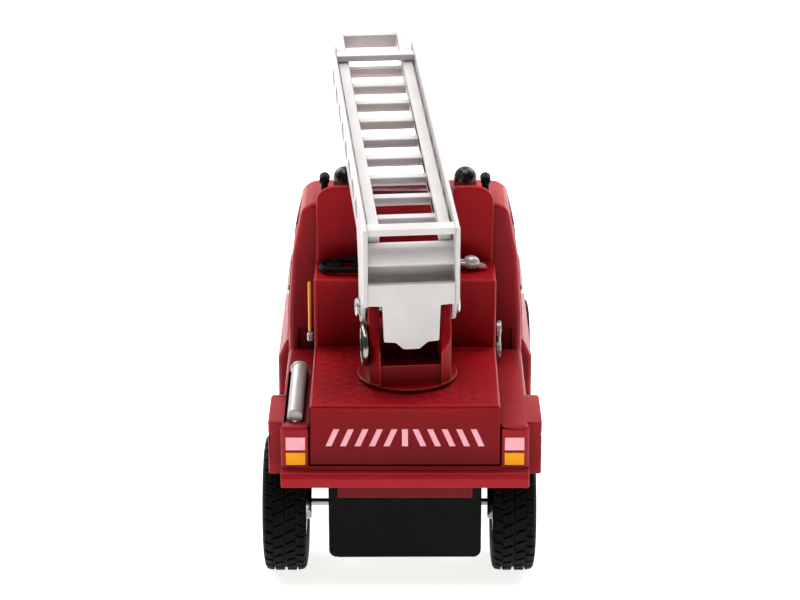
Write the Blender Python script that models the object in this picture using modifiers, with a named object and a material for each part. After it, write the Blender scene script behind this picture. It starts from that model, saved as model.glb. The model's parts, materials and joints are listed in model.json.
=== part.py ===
"""Toy fire engine with a turning, raising and extending ladder.

Metres, +Z up, front at -Y, vehicle's left at +X. Values below are millimetres.
A station is a distance forward of the tailboard's rear face.
"""

import math

import bmesh
import bpy
from mathutils import Matrix, Vector

MM = 0.001
NAME = "toy_fire_engine"
GAP = 0.35
OVER = 1.0

# Overall
LENGTH = 128.0
WALL = 1.3

# Rear body: a die-cast tray with a raised centre, a tailboard and square wheel arches
BODY_HALF = 26.2
BODY_BOTTOM = 25.8
BODY_FRONT = 46.9
SHOULDER_TOP = 39.0
SHOULDER_UNDER = 37.0
PANEL_HALF = 19.8
PANEL_STATION = 2.2
CENTRE_TOP = 42.3
RECESS_BACK = 3.75
BASE_ROOM = 29.5
TAILBOARD_TOP = 29.4
APRON_HALF = 14.3
APRON_BOTTOM = 22.7
FLARE_HALF = 28.9
FLARE_BOTTOM = 26.9
FLARE_REAR = 5.0
FLARE_FRONT = 31.0
ARCH_RADIUS = 16.3

# Deck insert: tread deck, equipment box and bulkhead
DECK_HALF = 20.0
DECK_TOP = 43.85
DECK_THICK = 1.2
BOX_REAR = 35.3
SHELF_TOP = 59.6
BULKHEAD_REAR = 46.9
BULKHEAD_FRONT = 48.4
BULKHEAD_HALF = 19.7
BULKHEAD_TOP = 77.2
NOTCH_HALF = 10.5
NOTCH_BOTTOM = 68.0

# Cab
CAB_REAR = 48.9
CAB_HALF = 26.3
CAB_FLOOR = 30.0
BELT = 46.0
ROOF_EDGE = 72.2
ROOF_HALF = 23.0
ROOF_TOP = 73.6
SCREEN_TOP = 66.0
SCREEN_FOOT = 80.0
SCREEN_FOOT_Z = 58.0
HOOD_NOSE = 122.0
HOOD_REAR_HALF = 23.0
HOOD_NOSE_HALF = 18.5
HOOD_NOSE_TOP = 53.0
FENDER_HALF = 28.9
FENDER_REAR = 52.0
FENDER_FRONT = 121.0
FENDER_TOP = 40.1
FENDER_EDGE = 34.5
FENDER_BOTTOM = 21.3
CAB_ARCH_RADIUS = 17.0

# Wheels and axles
TYRE_RADIUS = 14.85
TYRE_HALF = 4.7
RIM_RADIUS = 8.3
WHEEL_CENTRE = 24.6
AXLE_RADIUS = 0.75
AXLE_HALF = 25.2
BORE = 1.1
REAR_AXLE = 17.0
FRONT_AXLE = 101.0
FLOAT = 1.2
ROUND = 32

# Chassis base
BASE_HALF = 16.3
BASE_BOTTOM = 7.5
BASE_TOP = 28.8
BASE_FLOOR = 9.5
BASE_REAR = 4.6
BASE_FRONT = 119.0
SCREW_STATIONS = {"rear": 40.0, "front": 113.0}
SCREW_POST_TOPS = {"rear": 41.6, "front": 52.8}

# Pull-back motor
MOTOR_HALF = 10.5
MOTOR_REAR = 7.2
MOTOR_FRONT = 35.8
MOTOR_BOTTOM = 10.0
MOTOR_TOP = 28.6
GEAR_MODULE = 0.8
PINION_TEETH = 8
GEAR_TEETH = 16
GEAR_CENTRES = 9.85
GEAR_RISE = 4.2
GEAR_X = 6.2
GEAR_WIDTH = 2.6
SHAFT_RADIUS = 1.0

# Turret
TURRET_X = -0.5
TURRET_STATION = 19.2
TURRET_RADIUS = 10.8
TURRET_RING = 0.7
EAR_INNER = 6.45
EAR_OUTER = 8.8
PIVOT_Z = 59.8
PIN_RADIUS = 1.2
REST_YAW = math.radians(5.6)
REST_PITCH = math.radians(9.31)
BLOCK_REAR = 7.3
TONGUE_SWEEP = 13.0
BOSS_RADIUS = 4.0
BOSS_BOTTOM = 38.6

# Ladder, in its own frame: u forward from the pivot, n square to the rungs
RAIL_INNER = 9.15
RAIL_OUTER = 10.15
RAIL_BOTTOM = 13.5
RAIL_TOP = 21.5
RAIL_END = 89.6
LADDER_REAR = -6.0
CROSS_BARS = ((LADDER_REAR + 0.4, 2.8, 1.5), (80.4, 2.3, 1.55))
LUG_RADIUS = 3.2
FOOT_WALL_LOW = 5.7
END_HIGH = 8.3
END_LOW = 3.4
TONGUE_SIDE = -4.8
TONGUE_LOBE = -6.3
RUNG_PITCH = 9.3
RUNG_DEEP = 2.0
RUNG_TALL = 1.5
FIRST_RUNG = 7.0
RUNGS = 9
BASE_RUNG_SHIFT = 3.3
SLIDE_INNER = 6.3
SLIDE_OUTER = 8.75
SLIDE_BOTTOM = 15.6
SLIDE_TOP = 19.6
SLIDE_REAR = -1.5
SLIDE_TIP = 97.3

# Equipment
WHEEL_Y = 4.4
WHEEL_Z = 52.9
TUBE_X = 23.2
TUBE_Z = 40.0
TUBE_REAR = 5.2
TUBE_FRONT = 32.2
TUBE_RADIUS = 1.65
TUBE_ROOM = 0.4
SHELF_STATION = 41.6
HOSE_RADIUS = 0.8
LOOP_RADIUS = 3.1
LOOP_LEFT = 15.4
LOOP_RIGHT = 6.4
REEL_X = 15.6
REEL_RADIUS = 1.9
VALVE_LOW = 6.6
VALVE_HIGH = 11.6
VALVE_CONE_X = 9.6
NOZZLE_X = -14.6
NOZZLE_RADIUS = 1.9
NOZZLE_PIPE = 0.45
NOZZLE_PIPE_SPREAD = 0.85
NOZZLE_PIPE_END = -6.5
NOZZLE_COLLAR = (-9.2, -8.2)
NOZZLE_TAIL = (-18.0, -15.6)
OUTLET_STATION = 39.0
OUTLET_LEVELS = (42.4, 46.8)
OUTLET_RADIUS = 1.6
OUTLET_THICK = 1.0
OUTLET_PIPE = (40.2, 48.6)
POLE_STATION = 38.0
POLE_RADIUS = 0.5
POLE_ENDS = (46.6, 58.2)
CLIP_ENDS = (44.4, 46.2)

COLOURS = {
    "paint": ((0.33, 0.014, 0.022), 0.28, 0.0),
    "red_plastic": ((0.38, 0.008, 0.006), 0.38, 0.0),
    "white_plastic": ((0.78, 0.76, 0.73), 0.42, 0.0),
    "black_plastic": ((0.012, 0.012, 0.012), 0.5, 0.0),
    "rubber": ((0.018, 0.018, 0.019), 0.7, 0.0),
    "chrome": ((0.75, 0.75, 0.77), 0.15, 1.0),
    "steel": ((0.55, 0.55, 0.56), 0.35, 1.0),
    "silver_plastic": ((0.62, 0.60, 0.61), 0.3, 0.3),
    "dark_lens": ((0.03, 0.004, 0.006), 0.1, 0.0),
    "glass": ((0.05, 0.06, 0.07), 0.08, 0.0),
    "lamp": ((0.85, 0.85, 0.8), 0.1, 0.0),
    "grey_plastic": ((0.25, 0.25, 0.26), 0.45, 0.0),
    "brass": ((0.75, 0.55, 0.2), 0.3, 1.0),
    "yellow_plastic": ((0.9, 0.45, 0.03), 0.4, 0.0),
}


def make_collection(name):
    """A collection under the scene."""
    made = bpy.data.collections.new(name)
    bpy.context.scene.collection.children.link(made)
    return made


def y_at(station):
    """The y of a station."""
    return LENGTH / 2 - station


def move_to(obj, target):
    """Puts an object in one collection only."""
    for holder in list(obj.users_collection):
        holder.objects.unlink(obj)
    target.objects.link(obj)


def material(finish):
    """The Principled material of a finish, made once."""
    found = bpy.data.materials.get(finish)
    if found:
        return found
    made = bpy.data.materials.new(finish)
    made.use_nodes = True
    colour, roughness, metallic = COLOURS[finish]
    shader = made.node_tree.nodes["Principled BSDF"]
    shader.inputs["Base Color"].default_value = (*colour, 1.0)
    shader.inputs["Roughness"].default_value = roughness
    shader.inputs["Metallic"].default_value = metallic
    return made


def part(obj, name, finish, parent=None):
    """Names a finished piece, gives it its own material and hangs it on its joint."""
    obj.name = name
    obj.data.name = name
    own = material(finish).copy()
    own.name = name
    obj.data.materials.clear()
    obj.data.materials.append(own)
    move_to(obj, PARTS)
    hang(obj, parent)
    return obj


def hang(obj, parent):
    """Parents a piece and the operands of its Booleans to the same empty."""
    obj.parent = parent
    for step in obj.modifiers:
        if step.type == "BOOLEAN":
            hang(step.object, parent)


def helper(obj):
    """Marks an operand of a Boolean."""
    obj.hide_render = True
    obj.display_type = "WIRE"
    move_to(obj, CUTTERS)
    return obj


def boolean(obj, others, operation):
    """Adds one exact Boolean for each operand."""
    for other in others:
        step = obj.modifiers.new(operation.lower(), "BOOLEAN")
        step.operation = operation
        step.object = helper(other)
    return obj


def cut(obj, *others):
    return boolean(obj, others, "DIFFERENCE")


def join(obj, *others):
    return boolean(obj, others, "UNION")


def overlap(obj, *others):
    return boolean(obj, others, "INTERSECT")


def soften(obj, width, segments=1, angle=40.0):
    """Rounds the edges sharper than an angle."""
    bevel = obj.modifiers.new("bevel", "BEVEL")
    bevel.width = width * MM
    bevel.segments = segments
    bevel.limit_method = "ANGLE"
    bevel.angle_limit = math.radians(angle)
    return obj


def box(low, high):
    """A box between two corners."""
    bpy.ops.mesh.primitive_cube_add(size=1.0)
    obj = bpy.context.object
    low, high = Vector(low) * MM, Vector(high) * MM
    size = high - low
    obj.data.transform(Matrix.Translation((low + high) / 2) @ Matrix.Diagonal((*size, 1.0)))
    return obj


def cylinder(radius, low, high, axis, centre=(0.0, 0.0), sides=24):
    """A cylinder along an axis, from low to high; centre holds the other two coordinates in order."""
    bpy.ops.mesh.primitive_cylinder_add(vertices=sides, radius=radius * MM, depth=(high - low) * MM)
    obj = bpy.context.object
    obj.data.transform(Matrix.Translation((0, 0, (low + high) / 2 * MM)))
    obj.data.transform(AXES[axis])
    place = list(centre)
    place.insert("XYZ".index(axis), 0.0)
    obj.data.transform(Matrix.Translation(Vector(place) * MM))
    obj.data.shade_smooth()
    obj.data.set_sharp_from_angle(angle=math.radians(40))
    return obj


def prism(outlines, low, high, axis):
    """Flat outlines, the first one with the others as holes, extruded from low to high.

    Along X an outline holds (y, z) pairs, along Y (x, z) pairs and along Z (x, y) pairs.
    """
    curve = bpy.data.curves.new("outline", "CURVE")
    curve.dimensions = "2D"
    curve.fill_mode = "BOTH"
    curve.extrude = (high - low) / 2 * MM
    for outline in outlines:
        spline = curve.splines.new("POLY")
        spline.points.add(len(outline) - 1)
        spline.use_cyclic_u = True
        for point, (u, v) in zip(spline.points, outline):
            point.co = (u * MM, v * MM, 0.0, 1.0)
    flat = bpy.data.objects.new("outline", curve)
    bpy.context.scene.collection.objects.link(flat)
    obj = as_mesh(flat)
    middle = (low + high) / 2 * MM
    obj.data.transform(Matrix.Translation((0, 0, -middle if axis == "Y" else middle)))
    obj.data.transform(FLATS[axis])
    return obj


def as_mesh(curve_object):
    """The welded mesh of a curve object, which it takes the place of."""
    bpy.context.view_layer.update()
    graph = bpy.context.evaluated_depsgraph_get()
    mesh = bpy.data.meshes.new_from_object(curve_object.evaluated_get(graph))
    obj = bpy.data.objects.new("mesh", mesh)
    bpy.context.scene.collection.objects.link(obj)
    obj.matrix_world = curve_object.matrix_world
    bpy.data.objects.remove(curve_object)
    shape = bmesh.new()
    shape.from_mesh(mesh)
    bmesh.ops.remove_doubles(shape, verts=shape.verts, dist=1e-6)
    bmesh.ops.dissolve_limit(shape, angle_limit=math.radians(0.5), verts=shape.verts, edges=shape.edges)
    bmesh.ops.recalc_face_normals(shape, faces=shape.faces)
    shape.to_mesh(mesh)
    shape.free()
    return obj


def turned(profile, sides=ROUND, closed=False, axis="Z"):
    """A profile of (radius, height) pairs, top to bottom on its outer side, turned about an axis."""
    mesh = bpy.data.meshes.new("profile")
    edges = [(i, i + 1) for i in range(len(profile) - 1)]
    if closed:
        edges.append((len(profile) - 1, 0))
    mesh.from_pydata([(r * MM, 0.0, h * MM) for r, h in profile], edges, [])
    obj = bpy.data.objects.new("turned", mesh)
    bpy.context.scene.collection.objects.link(obj)
    screw = obj.modifiers.new("screw", "SCREW")
    screw.steps = sides
    screw.render_steps = sides
    screw.use_merge_vertices = True
    screw.merge_threshold = 1e-5
    obj.matrix_world = AXES[axis]
    return obj


def place(obj, x, y, z):
    """Moves an object whose mesh was made about the origin."""
    obj.matrix_world = Matrix.Translation(Vector((x, y, z)) * MM) @ obj.matrix_world
    return obj


def arc(centre, radius, start, end, steps):
    """Points on an arc, with angles in degrees."""
    angles = [math.radians(start + (end - start) * i / steps) for i in range(steps + 1)]
    return [(centre[0] + radius * math.cos(a), centre[1] + radius * math.sin(a)) for a in angles]


def axis_empty(name, location, parent=None, rotation=(0.0, 0.0, 0.0)):
    """An empty on a joint's axis."""
    empty = bpy.data.objects.new(name, None)
    empty.location = Vector(location) * MM
    empty.rotation_euler = rotation
    empty.parent = parent
    PARTS.objects.link(empty)
    return empty


# ---------------------------------------------------------------- bodywork


def flare_outline():
    """Side view of a rear wheel arch: a square block that falls away towards the front."""
    return [
        (y_at(FLARE_REAR), FLARE_BOTTOM),
        (y_at(FLARE_REAR), SHOULDER_TOP - 0.1),
        (y_at(19.5), SHOULDER_TOP - 0.1),
        (y_at(28.0), 35.5),
        (y_at(FLARE_FRONT), FLARE_BOTTOM),
    ]


def make_rear_body():
    y_rear = y_at(PANEL_STATION)
    y_front = y_at(BODY_FRONT)
    body = soften(box((-BODY_HALF, y_front, BODY_BOTTOM), (BODY_HALF, y_rear, SHOULDER_TOP)), 0.9, 2)
    centre = box((-PANEL_HALF, y_front, SHOULDER_TOP - OVER), (PANEL_HALF, y_rear - 0.02, CENTRE_TOP))
    tail_outline = [
        (y_rear - OVER, BODY_BOTTOM),
        (y_at(0.0), BODY_BOTTOM),
        (y_at(0.0), TAILBOARD_TOP - 1.2),
        (y_at(0.7), TAILBOARD_TOP - 0.3),
        (y_rear - OVER, TAILBOARD_TOP + 0.2),
    ]
    tailboard = prism([tail_outline], -BODY_HALF, BODY_HALF, "X")
    apron = box((-APRON_HALF, y_at(3.6), APRON_BOTTOM), (APRON_HALF, y_at(2.0), BODY_BOTTOM + OVER))
    join(body, centre, tailboard, apron)
    for side in (-1, 1):
        low, high = sorted((side * (BODY_HALF - OVER), side * FLARE_HALF))
        join(body, prism([flare_outline()], low, high, "X"))
    inner = BODY_HALF - WALL - 0.2
    back = y_at(RECESS_BACK + WALL)
    cut(body, box((-inner, y_front + WALL, BODY_BOTTOM - OVER), (inner, y_at(BASE_REAR - GAP), BASE_ROOM)))
    cut(body, box((-inner, y_front + WALL, BASE_ROOM - OVER), (inner, back, SHOULDER_UNDER)))
    hollow = PANEL_HALF - WALL
    cut(body, box((-hollow, y_front + WALL, SHOULDER_UNDER - OVER), (hollow, back, CENTRE_TOP - WALL)))
    recess = DECK_HALF + GAP
    low = (-recess, y_at(RECESS_BACK), TAILBOARD_TOP + 0.5)
    cut(body, box(low, (recess, y_rear + OVER, CENTRE_TOP + OVER)))
    cut(body, cylinder(ARCH_RADIUS, -40, 40, "X", (y_at(REAR_AXLE), TYRE_RADIUS), 40))
    turret_at = (TURRET_X, y_at(TURRET_STATION))
    cut(body, cylinder(BOSS_RADIUS + GAP, SHOULDER_UNDER, CENTRE_TOP + OVER, "Z", turret_at))
    side = TUBE_RADIUS + TUBE_ROOM
    low = (TUBE_X - side, y_at(TUBE_FRONT + 2 * TUBE_ROOM), TUBE_Z - side)
    trough = box(low, (TUBE_X + side, y_at(TUBE_REAR - TUBE_ROOM), SHOULDER_TOP + OVER))
    cut(body, trough)
    groove_low, groove_high = SHOULDER_TOP - 3.3, SHOULDER_TOP - 2.6
    for side in (-1, 1):
        low, high = sorted((side * (FLARE_HALF - 0.5), side * (FLARE_HALF + OVER)))
        cut(body, box((low, y_at(FLARE_FRONT), groove_low), (high, y_at(FLARE_REAR) + OVER, groove_high)))
    cut(body, base_tunnel(BODY_FRONT - WALL - OVER, BODY_FRONT + OVER))
    join(body, screw_post("rear"))
    cut(body, screw_bore("rear"))
    return part(body, "rear_body", "paint")


def base_tunnel(rear, front):
    """A cutter that lets the chassis base pass under a cross wall."""
    half = BASE_HALF + 0.5
    return box((-half, y_at(front), BASE_BOTTOM), (half, y_at(rear), BASE_TOP + 0.5))


def screw_post(end):
    """A post that a base screw goes up into."""
    centre = (0, y_at(SCREW_STATIONS[end]))
    return cylinder(2.6, BASE_FLOOR + GAP, SCREW_POST_TOPS[end], "Z", centre, 16)


def screw_bore(end):
    centre = (0, y_at(SCREW_STATIONS[end]))
    return cylinder(1.25, BASE_FLOOR - OVER, 23.0, "Z", centre, 12)


def make_base_screw(end):
    profile = [(0, 22.0), (0.6, 22.0), (0.9, 21.4), (0.9, 8.55), (2.2, 8.5), (2.2, 7.8), (0, 7.8)]
    screw = turned(profile, 16)
    place(screw, 0, y_at(SCREW_STATIONS[end]), 0)
    slot = box((-1.6, y_at(SCREW_STATIONS[end]) - 0.25, 7.0), (1.6, y_at(SCREW_STATIONS[end]) + 0.25, 8.25))
    return part(cut(screw, slot), f"base_screw_{end}", "steel")


def make_deck_insert():
    """One moulding: tread deck, equipment box with its shelf, and the notched bulkhead."""
    deck_under = DECK_TOP - DECK_THICK
    rear = y_at(PANEL_STATION)
    deck = soften(box((-DECK_HALF, y_at(BOX_REAR + 2), deck_under), (DECK_HALF, rear, DECK_TOP)), 0.35)
    foot = TAILBOARD_TOP + 0.5 + GAP
    panel = box((-DECK_HALF, y_at(RECESS_BACK - GAP), foot), (DECK_HALF, rear, deck_under + 0.5))
    crate = box((-DECK_HALF, y_at(BULKHEAD_FRONT), deck_under), (DECK_HALF, y_at(BOX_REAR), SHELF_TOP))
    soften(crate, 0.5)
    top, low, r = BULKHEAD_TOP, deck_under, 4.0
    right = [(BULKHEAD_HALF, low)] + arc((BULKHEAD_HALF - r, top - r), r, 0, 90, 5)
    right += arc((NOTCH_HALF + 1.5, top - 1.5), 1.5, 90, 180, 3)
    right += [(NOTCH_HALF, NOTCH_BOTTOM + 3)] + arc((NOTCH_HALF - 3, NOTCH_BOTTOM + 3), 3, 0, -90, 3)
    outline = right + [(-x, z) for x, z in reversed(right)]
    wall = soften(prism([outline], y_at(BULKHEAD_FRONT), y_at(BULKHEAD_REAR), "Y"), 0.35)
    join(deck, panel, crate, wall)
    inner = DECK_HALF - WALL
    hollow = box(
        (-inner, y_at(BULKHEAD_FRONT) + WALL, deck_under - OVER), (inner, y_at(BOX_REAR + WALL), SHELF_TOP - WALL)
    )
    cut(deck, hollow)
    turret_at = (TURRET_X, y_at(TURRET_STATION))
    cut(deck, cylinder(BOSS_RADIUS + GAP, deck_under - OVER, DECK_TOP + OVER, "Z", turret_at))
    return part(deck, "deck_insert", "red_plastic")


def greenhouse(inset, low):
    """The upper cab, drawn in by an inset: side view met with rear view."""
    rear = CAB_REAR + inset
    screen = inset * 1.25
    side = [
        (y_at(rear), low),
        (y_at(rear), ROOF_TOP - inset - 0.4),
        (y_at(rear + 4), ROOF_TOP - inset),
        (y_at(SCREEN_TOP - screen - 4), ROOF_TOP - inset),
        (y_at(SCREEN_TOP - screen), ROOF_TOP - inset - 0.8),
        (y_at(SCREEN_FOOT - screen), SCREEN_FOOT_Z - inset * 0.3),
        (y_at(SCREEN_FOOT - screen), low),
    ]
    half = [
        (CAB_HALF - inset, low - OVER),
        (CAB_HALF - inset, BELT),
        (CAB_HALF - inset - 1.0, BELT + 14),
        (ROOF_HALF - inset + 0.2, ROOF_EDGE - inset - 1.4),
        (ROOF_HALF - inset - 1.8, ROOF_EDGE - inset + 0.4),
        (9.0, ROOF_TOP + OVER - inset * 0.9),
    ]
    rear_view = half + [(-x, z) for x, z in reversed(half)]
    shape = prism([side], -CAB_HALF - OVER, CAB_HALF + OVER, "X")
    return overlap(shape, prism([rear_view], y_at(90), y_at(40), "Y"))


def hood(inset):
    """The engine cover, narrower and lower towards its nose."""
    rear, nose = SCREEN_FOOT - 2 + inset, HOOD_NOSE - inset
    low = FENDER_BOTTOM + 8
    side = [
        (y_at(rear), low - OVER * (inset > 0)),
        (y_at(rear), SCREEN_FOOT_Z - 1.2 - inset),
        (y_at(nose - 6), HOOD_NOSE_TOP - inset),
        (y_at(nose - 1.6), HOOD_NOSE_TOP - 1.6 - inset),
        (y_at(nose), HOOD_NOSE_TOP - 4.5 - inset),
        (y_at(nose), low - OVER * (inset > 0)),
    ]
    plan = [
        (HOOD_REAR_HALF - inset, y_at(rear) + OVER),
        (HOOD_REAR_HALF - inset, y_at(rear + 3)),
        (HOOD_NOSE_HALF - inset, y_at(nose - 4)),
        (HOOD_NOSE_HALF - inset - 2.5, y_at(nose) - OVER),
    ]
    outline = plan + [(-x, y) for x, y in reversed(plan)]
    shape = prism([side], -CAB_HALF, CAB_HALF, "X")
    return overlap(shape, prism([outline], 0, 90, "Z"))


def fender_block(inset):
    """The wide lower body with its steps and front wings."""
    half = [
        (FENDER_HALF - inset, FENDER_BOTTOM - OVER * (inset > 0)),
        (FENDER_HALF - inset, FENDER_EDGE - inset * 0.5),
        (FENDER_HALF - 1.9 - inset, FENDER_TOP - 1.2 - inset),
        (FENDER_HALF - 4.5 - inset, FENDER_TOP - inset),
    ]
    outline = half + [(-x, z) for x, z in reversed(half)]
    return prism([outline], y_at(FENDER_FRONT - inset), y_at(FENDER_REAR + inset), "Y")


def make_cab_body():
    body = soften(greenhouse(0.0, CAB_FLOOR), 1.3, 2, 25)
    join(body, soften(hood(0.0), 1.4, 2, 30), soften(fender_block(0.0), 0.9, 2, 30))
    cut(body, fender_block(WALL + 0.2), hood(WALL), greenhouse(WALL, FENDER_BOTTOM - OVER))
    cut(body, cylinder(CAB_ARCH_RADIUS, -40, 40, "X", (y_at(FRONT_AXLE), TYRE_RADIUS), 40))
    side_window = [
        (y_at(53.0), 60.0),
        (y_at(53.4), 69.4),
        (y_at(63.6), 69.4),
        (y_at(72.4), 60.0),
    ]
    cut(body, soften(prism([side_window], -40, 40, "X"), 1.0, 2))
    screen = [(-20.4, 60.6), (20.4, 60.6), (18.4, 70.2), (-18.4, 70.2)]
    cut(body, soften(prism([screen], y_at(88), y_at(62), "Y"), 1.2, 2))
    cut(body, box((-24, y_at(CAB_REAR + 0.5), CAB_FLOOR - OVER), (24, y_at(CAB_REAR - OVER), 43.0)))
    cut(body, base_tunnel(FENDER_REAR - OVER, FENDER_REAR + WALL + 2 * OVER))
    join(body, screw_post("front"))
    cut(body, screw_bore("front"))
    return part(body, "cab_body", "paint")


def make_cab_glazing():
    low = 57.5
    glass = greenhouse(WALL + GAP, low)
    cut(glass, greenhouse(WALL + GAP + 1.0, low - OVER))
    return part(glass, "cab_glazing", "glass")


def make_cab_interior():
    """Bench seat, floor and dashboard in one dark moulding."""
    half = 21.5
    floor = box((-half, y_at(76.5), 41.2), (half, y_at(51.5), 42.4))
    bench = soften(box((-19, y_at(61), 42.0), (19, y_at(54.0), 47.5)), 0.8)
    back = soften(box((-19, y_at(55.4), 42.0), (19, y_at(52.4), 56.0)), 0.8)
    dash = soften(box((-20.5, y_at(76.4), 42.0), (20.5, y_at(72.6), 54.5)), 0.8)
    return part(join(floor, bench, back, dash), "cab_interior", "grey_plastic")


def make_steering_wheel():
    """A ring with a hub and column, leaning back from the dashboard."""
    bpy.ops.mesh.primitive_torus_add(major_radius=3.4 * MM, minor_radius=0.4 * MM, major_segments=20, minor_segments=6)
    ring = bpy.context.object
    bar = box((-3.4, -0.4, -0.35), (3.4, 0.4, 0.35))
    hub = cylinder(0.9, -1.6, 0.5, "Z", sides=12)
    join(ring, bar, hub)
    lean = Matrix.Rotation(math.radians(62), 4, "X")
    spot = Matrix.Translation(Vector((10.5, y_at(69.6), 53.2)) * MM)
    for piece in (ring, bar, hub):
        piece.matrix_world = spot @ lean
    return part(ring, "steering_wheel", "black_plastic")


def make_grille():
    half, low, high = 13.0, 35.5, 48.0
    outer = [(-half, low), (half, low), (half, high), (-half, high)]
    slots = []
    for row in range(4):
        z = low + 1.7 + row * 2.6
        slots.append([(-half + 1.5, z), (-half + 1.5, z + 1.3), (half - 1.5, z + 1.3), (half - 1.5, z)])
    plate = prism([outer, *slots], y_at(HOOD_NOSE + GAP + 1.4), y_at(HOOD_NOSE + GAP), "Y")
    return part(plate, "grille", "chrome")


def make_front_bumper():
    rear, front = FENDER_FRONT + GAP, LENGTH
    half = [
        (0.0, y_at(front)),
        (22.5, y_at(front)),
        (27.5, y_at(front - 3.0)),
        (27.5, y_at(rear)),
        (25.5, y_at(rear)),
        (21.0, y_at(front - 3.2)),
        (0.0, y_at(front - 3.2)),
    ]
    outline = half + [(-x, y) for x, y in reversed(half[1:-1])]
    bumper = soften(prism([outline], 24.0, 31.5, "Z"), 0.6, 1)
    return part(bumper, "front_bumper", "silver_plastic")


def make_headlight(side, name):
    profile = [(0, 2.2), (1.4, 2.0), (2.4, 1.3), (2.9, 0.3), (2.9, 0.0), (0, 0.0)]
    lens = turned(profile, 20)
    lens.matrix_world = Matrix.Rotation(math.pi / 2, 4, "X")
    place(lens, side * 22.6, y_at(FENDER_FRONT + GAP), 36.2)
    return part(lens, f"headlight_{name}", "lamp")


def make_beacon(side, name):
    """A lens dome over a grey reflector on the cab roof."""
    x, y, foot = side * 13.5, y_at(57.0), ROOF_TOP + 0.3
    outer = [(0, 4.8)] + [(2.6 * math.sin(a), 2.2 + 2.6 * math.cos(a)) for a in (0.5, 1.0, math.pi / 2)]
    profile = outer + [(2.6, 0.0), (2.0, 0.0), (2.0, 2.2), (1.5, 3.5), (0, 4.1)]
    lens = place(turned(profile, 20), x, y, foot)
    part(lens, f"beacon_lens_{name}", "dark_lens")
    core = place(turned([(0, 3.6), (1.0, 3.1), (1.6, 2.0), (1.65, 0.0), (0, 0.0)], 16), x, y, foot)
    part(core, f"beacon_reflector_{name}", "silver_plastic")


def make_spot_lamp(side, name):
    """A small bullet lamp on a stalk at the back of the roof."""
    x, z, rear = side * 17.9, 77.3, y_at(50.2)
    shell = turned([(0, 0), (0.8, -0.3), (1.15, -1.0), (1.15, -3.6), (0.7, -4.6), (0, -4.8)], 16)
    shell.matrix_world = Matrix.Rotation(-math.pi / 2, 4, "X")
    place(shell, x, rear, z)
    stalk = cylinder(0.55, ROOF_TOP + GAP, z - 0.4, "Z", (x, rear - 2.4), 10)
    return part(join(shell, stalk), f"spot_lamp_{name}", "black_plastic")


def make_lamp_bar():
    bar = soften(box((-8.6, y_at(57.2), ROOF_TOP + 0.35), (8.6, y_at(53.4), ROOF_TOP + 2.5)), 0.5)
    return part(bar, "roof_lamp_bar", "dark_lens")


# ---------------------------------------------------------------- running gear


def make_chassis_base():
    """A black tub: floor with rounded edges, walls with axle holes, screw holes below."""
    r = 1.8
    half = [(BASE_HALF, BASE_TOP)] + arc((BASE_HALF - r, BASE_BOTTOM + r), r, 0, -90, 4)
    outline = half + [(-x, z) for x, z in reversed(half)]
    tub = prism([outline], y_at(BASE_FRONT), y_at(BASE_REAR), "Y")
    inner = BASE_HALF - 1.5
    cut(tub, box((-inner, y_at(BASE_FRONT - 1.5), BASE_FLOOR), (inner, y_at(BASE_REAR + 1.5), BASE_TOP + OVER)))
    for station in (REAR_AXLE, FRONT_AXLE):
        cut(tub, cylinder(AXLE_RADIUS + 0.45, -30, 30, "X", (y_at(station), TYRE_RADIUS), 16))
    for end in SCREW_STATIONS:
        centre = (0, y_at(SCREW_STATIONS[end]))
        cut(tub, cylinder(1.3, BASE_BOTTOM - OVER, BASE_FLOOR + OVER, "Z", centre, 16))
        cut(tub, cylinder(2.7, BASE_BOTTOM - OVER, 8.9, "Z", centre, 20))
    return part(tub, "chassis_base", "black_plastic")


def make_wheel(side, axle, parent, name):
    """A dished rim on its axle; the boss faces inwards."""
    profile = [
        (0, 3.4),
        (1.9, 3.2),
        (2.6, 2.2),
        (3.0, 0.8),
        (6.0, 0.5),
        (7.1, 3.5),
        (RIM_RADIUS - 0.3, 4.2),
        (RIM_RADIUS, 3.8),
        (RIM_RADIUS, -4.2),
        (7.3, -4.2),
        (6.6, -1.4),
        (3.9, -1.4),
        (3.7, -5.5),
        (BORE, -5.5),
        (BORE, 1.2),
        (0, 1.2),
    ]
    wheel = turned(profile, ROUND)
    wheel.matrix_world = Matrix.Rotation(side * math.pi / 2, 4, "Y")
    place(wheel, side * WHEEL_CENTRE, 0, 0)
    return part(wheel, f"{name}_wheel", "chrome", parent)


def make_tyre(side, parent, name):
    half = [(RIM_RADIUS + GAP, 3.9), (9.8, 4.5), (12.9, TYRE_HALF), (14.35, 4.1), (TYRE_RADIUS, 2.9)]
    profile = half + [(r, -h) for r, h in reversed(half)]
    tyre = turned(profile, ROUND, closed=True)
    tyre.matrix_world = Matrix.Rotation(side * math.pi / 2, 4, "Y")
    place(tyre, side * WHEEL_CENTRE, 0, 0)
    return part(tyre, f"{name}_tyre", "rubber", parent)


def make_axle(end, station, offset):
    """An axle with its two wheels and tyres, slid sideways by its play."""
    spin = axis_empty(f"{end}_axle_spin", (offset, y_at(station), TYRE_RADIUS))
    shaft = cylinder(AXLE_RADIUS, -AXLE_HALF, AXLE_HALF, "X", (0, 0), 16)
    part(shaft, f"{end}_axle", "steel", spin)
    for side, name in ((1, "left"), (-1, "right")):
        make_wheel(side, station, spin, f"{end}_{name}")
        make_tyre(side, spin, f"{end}_{name}")
    return spin


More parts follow.
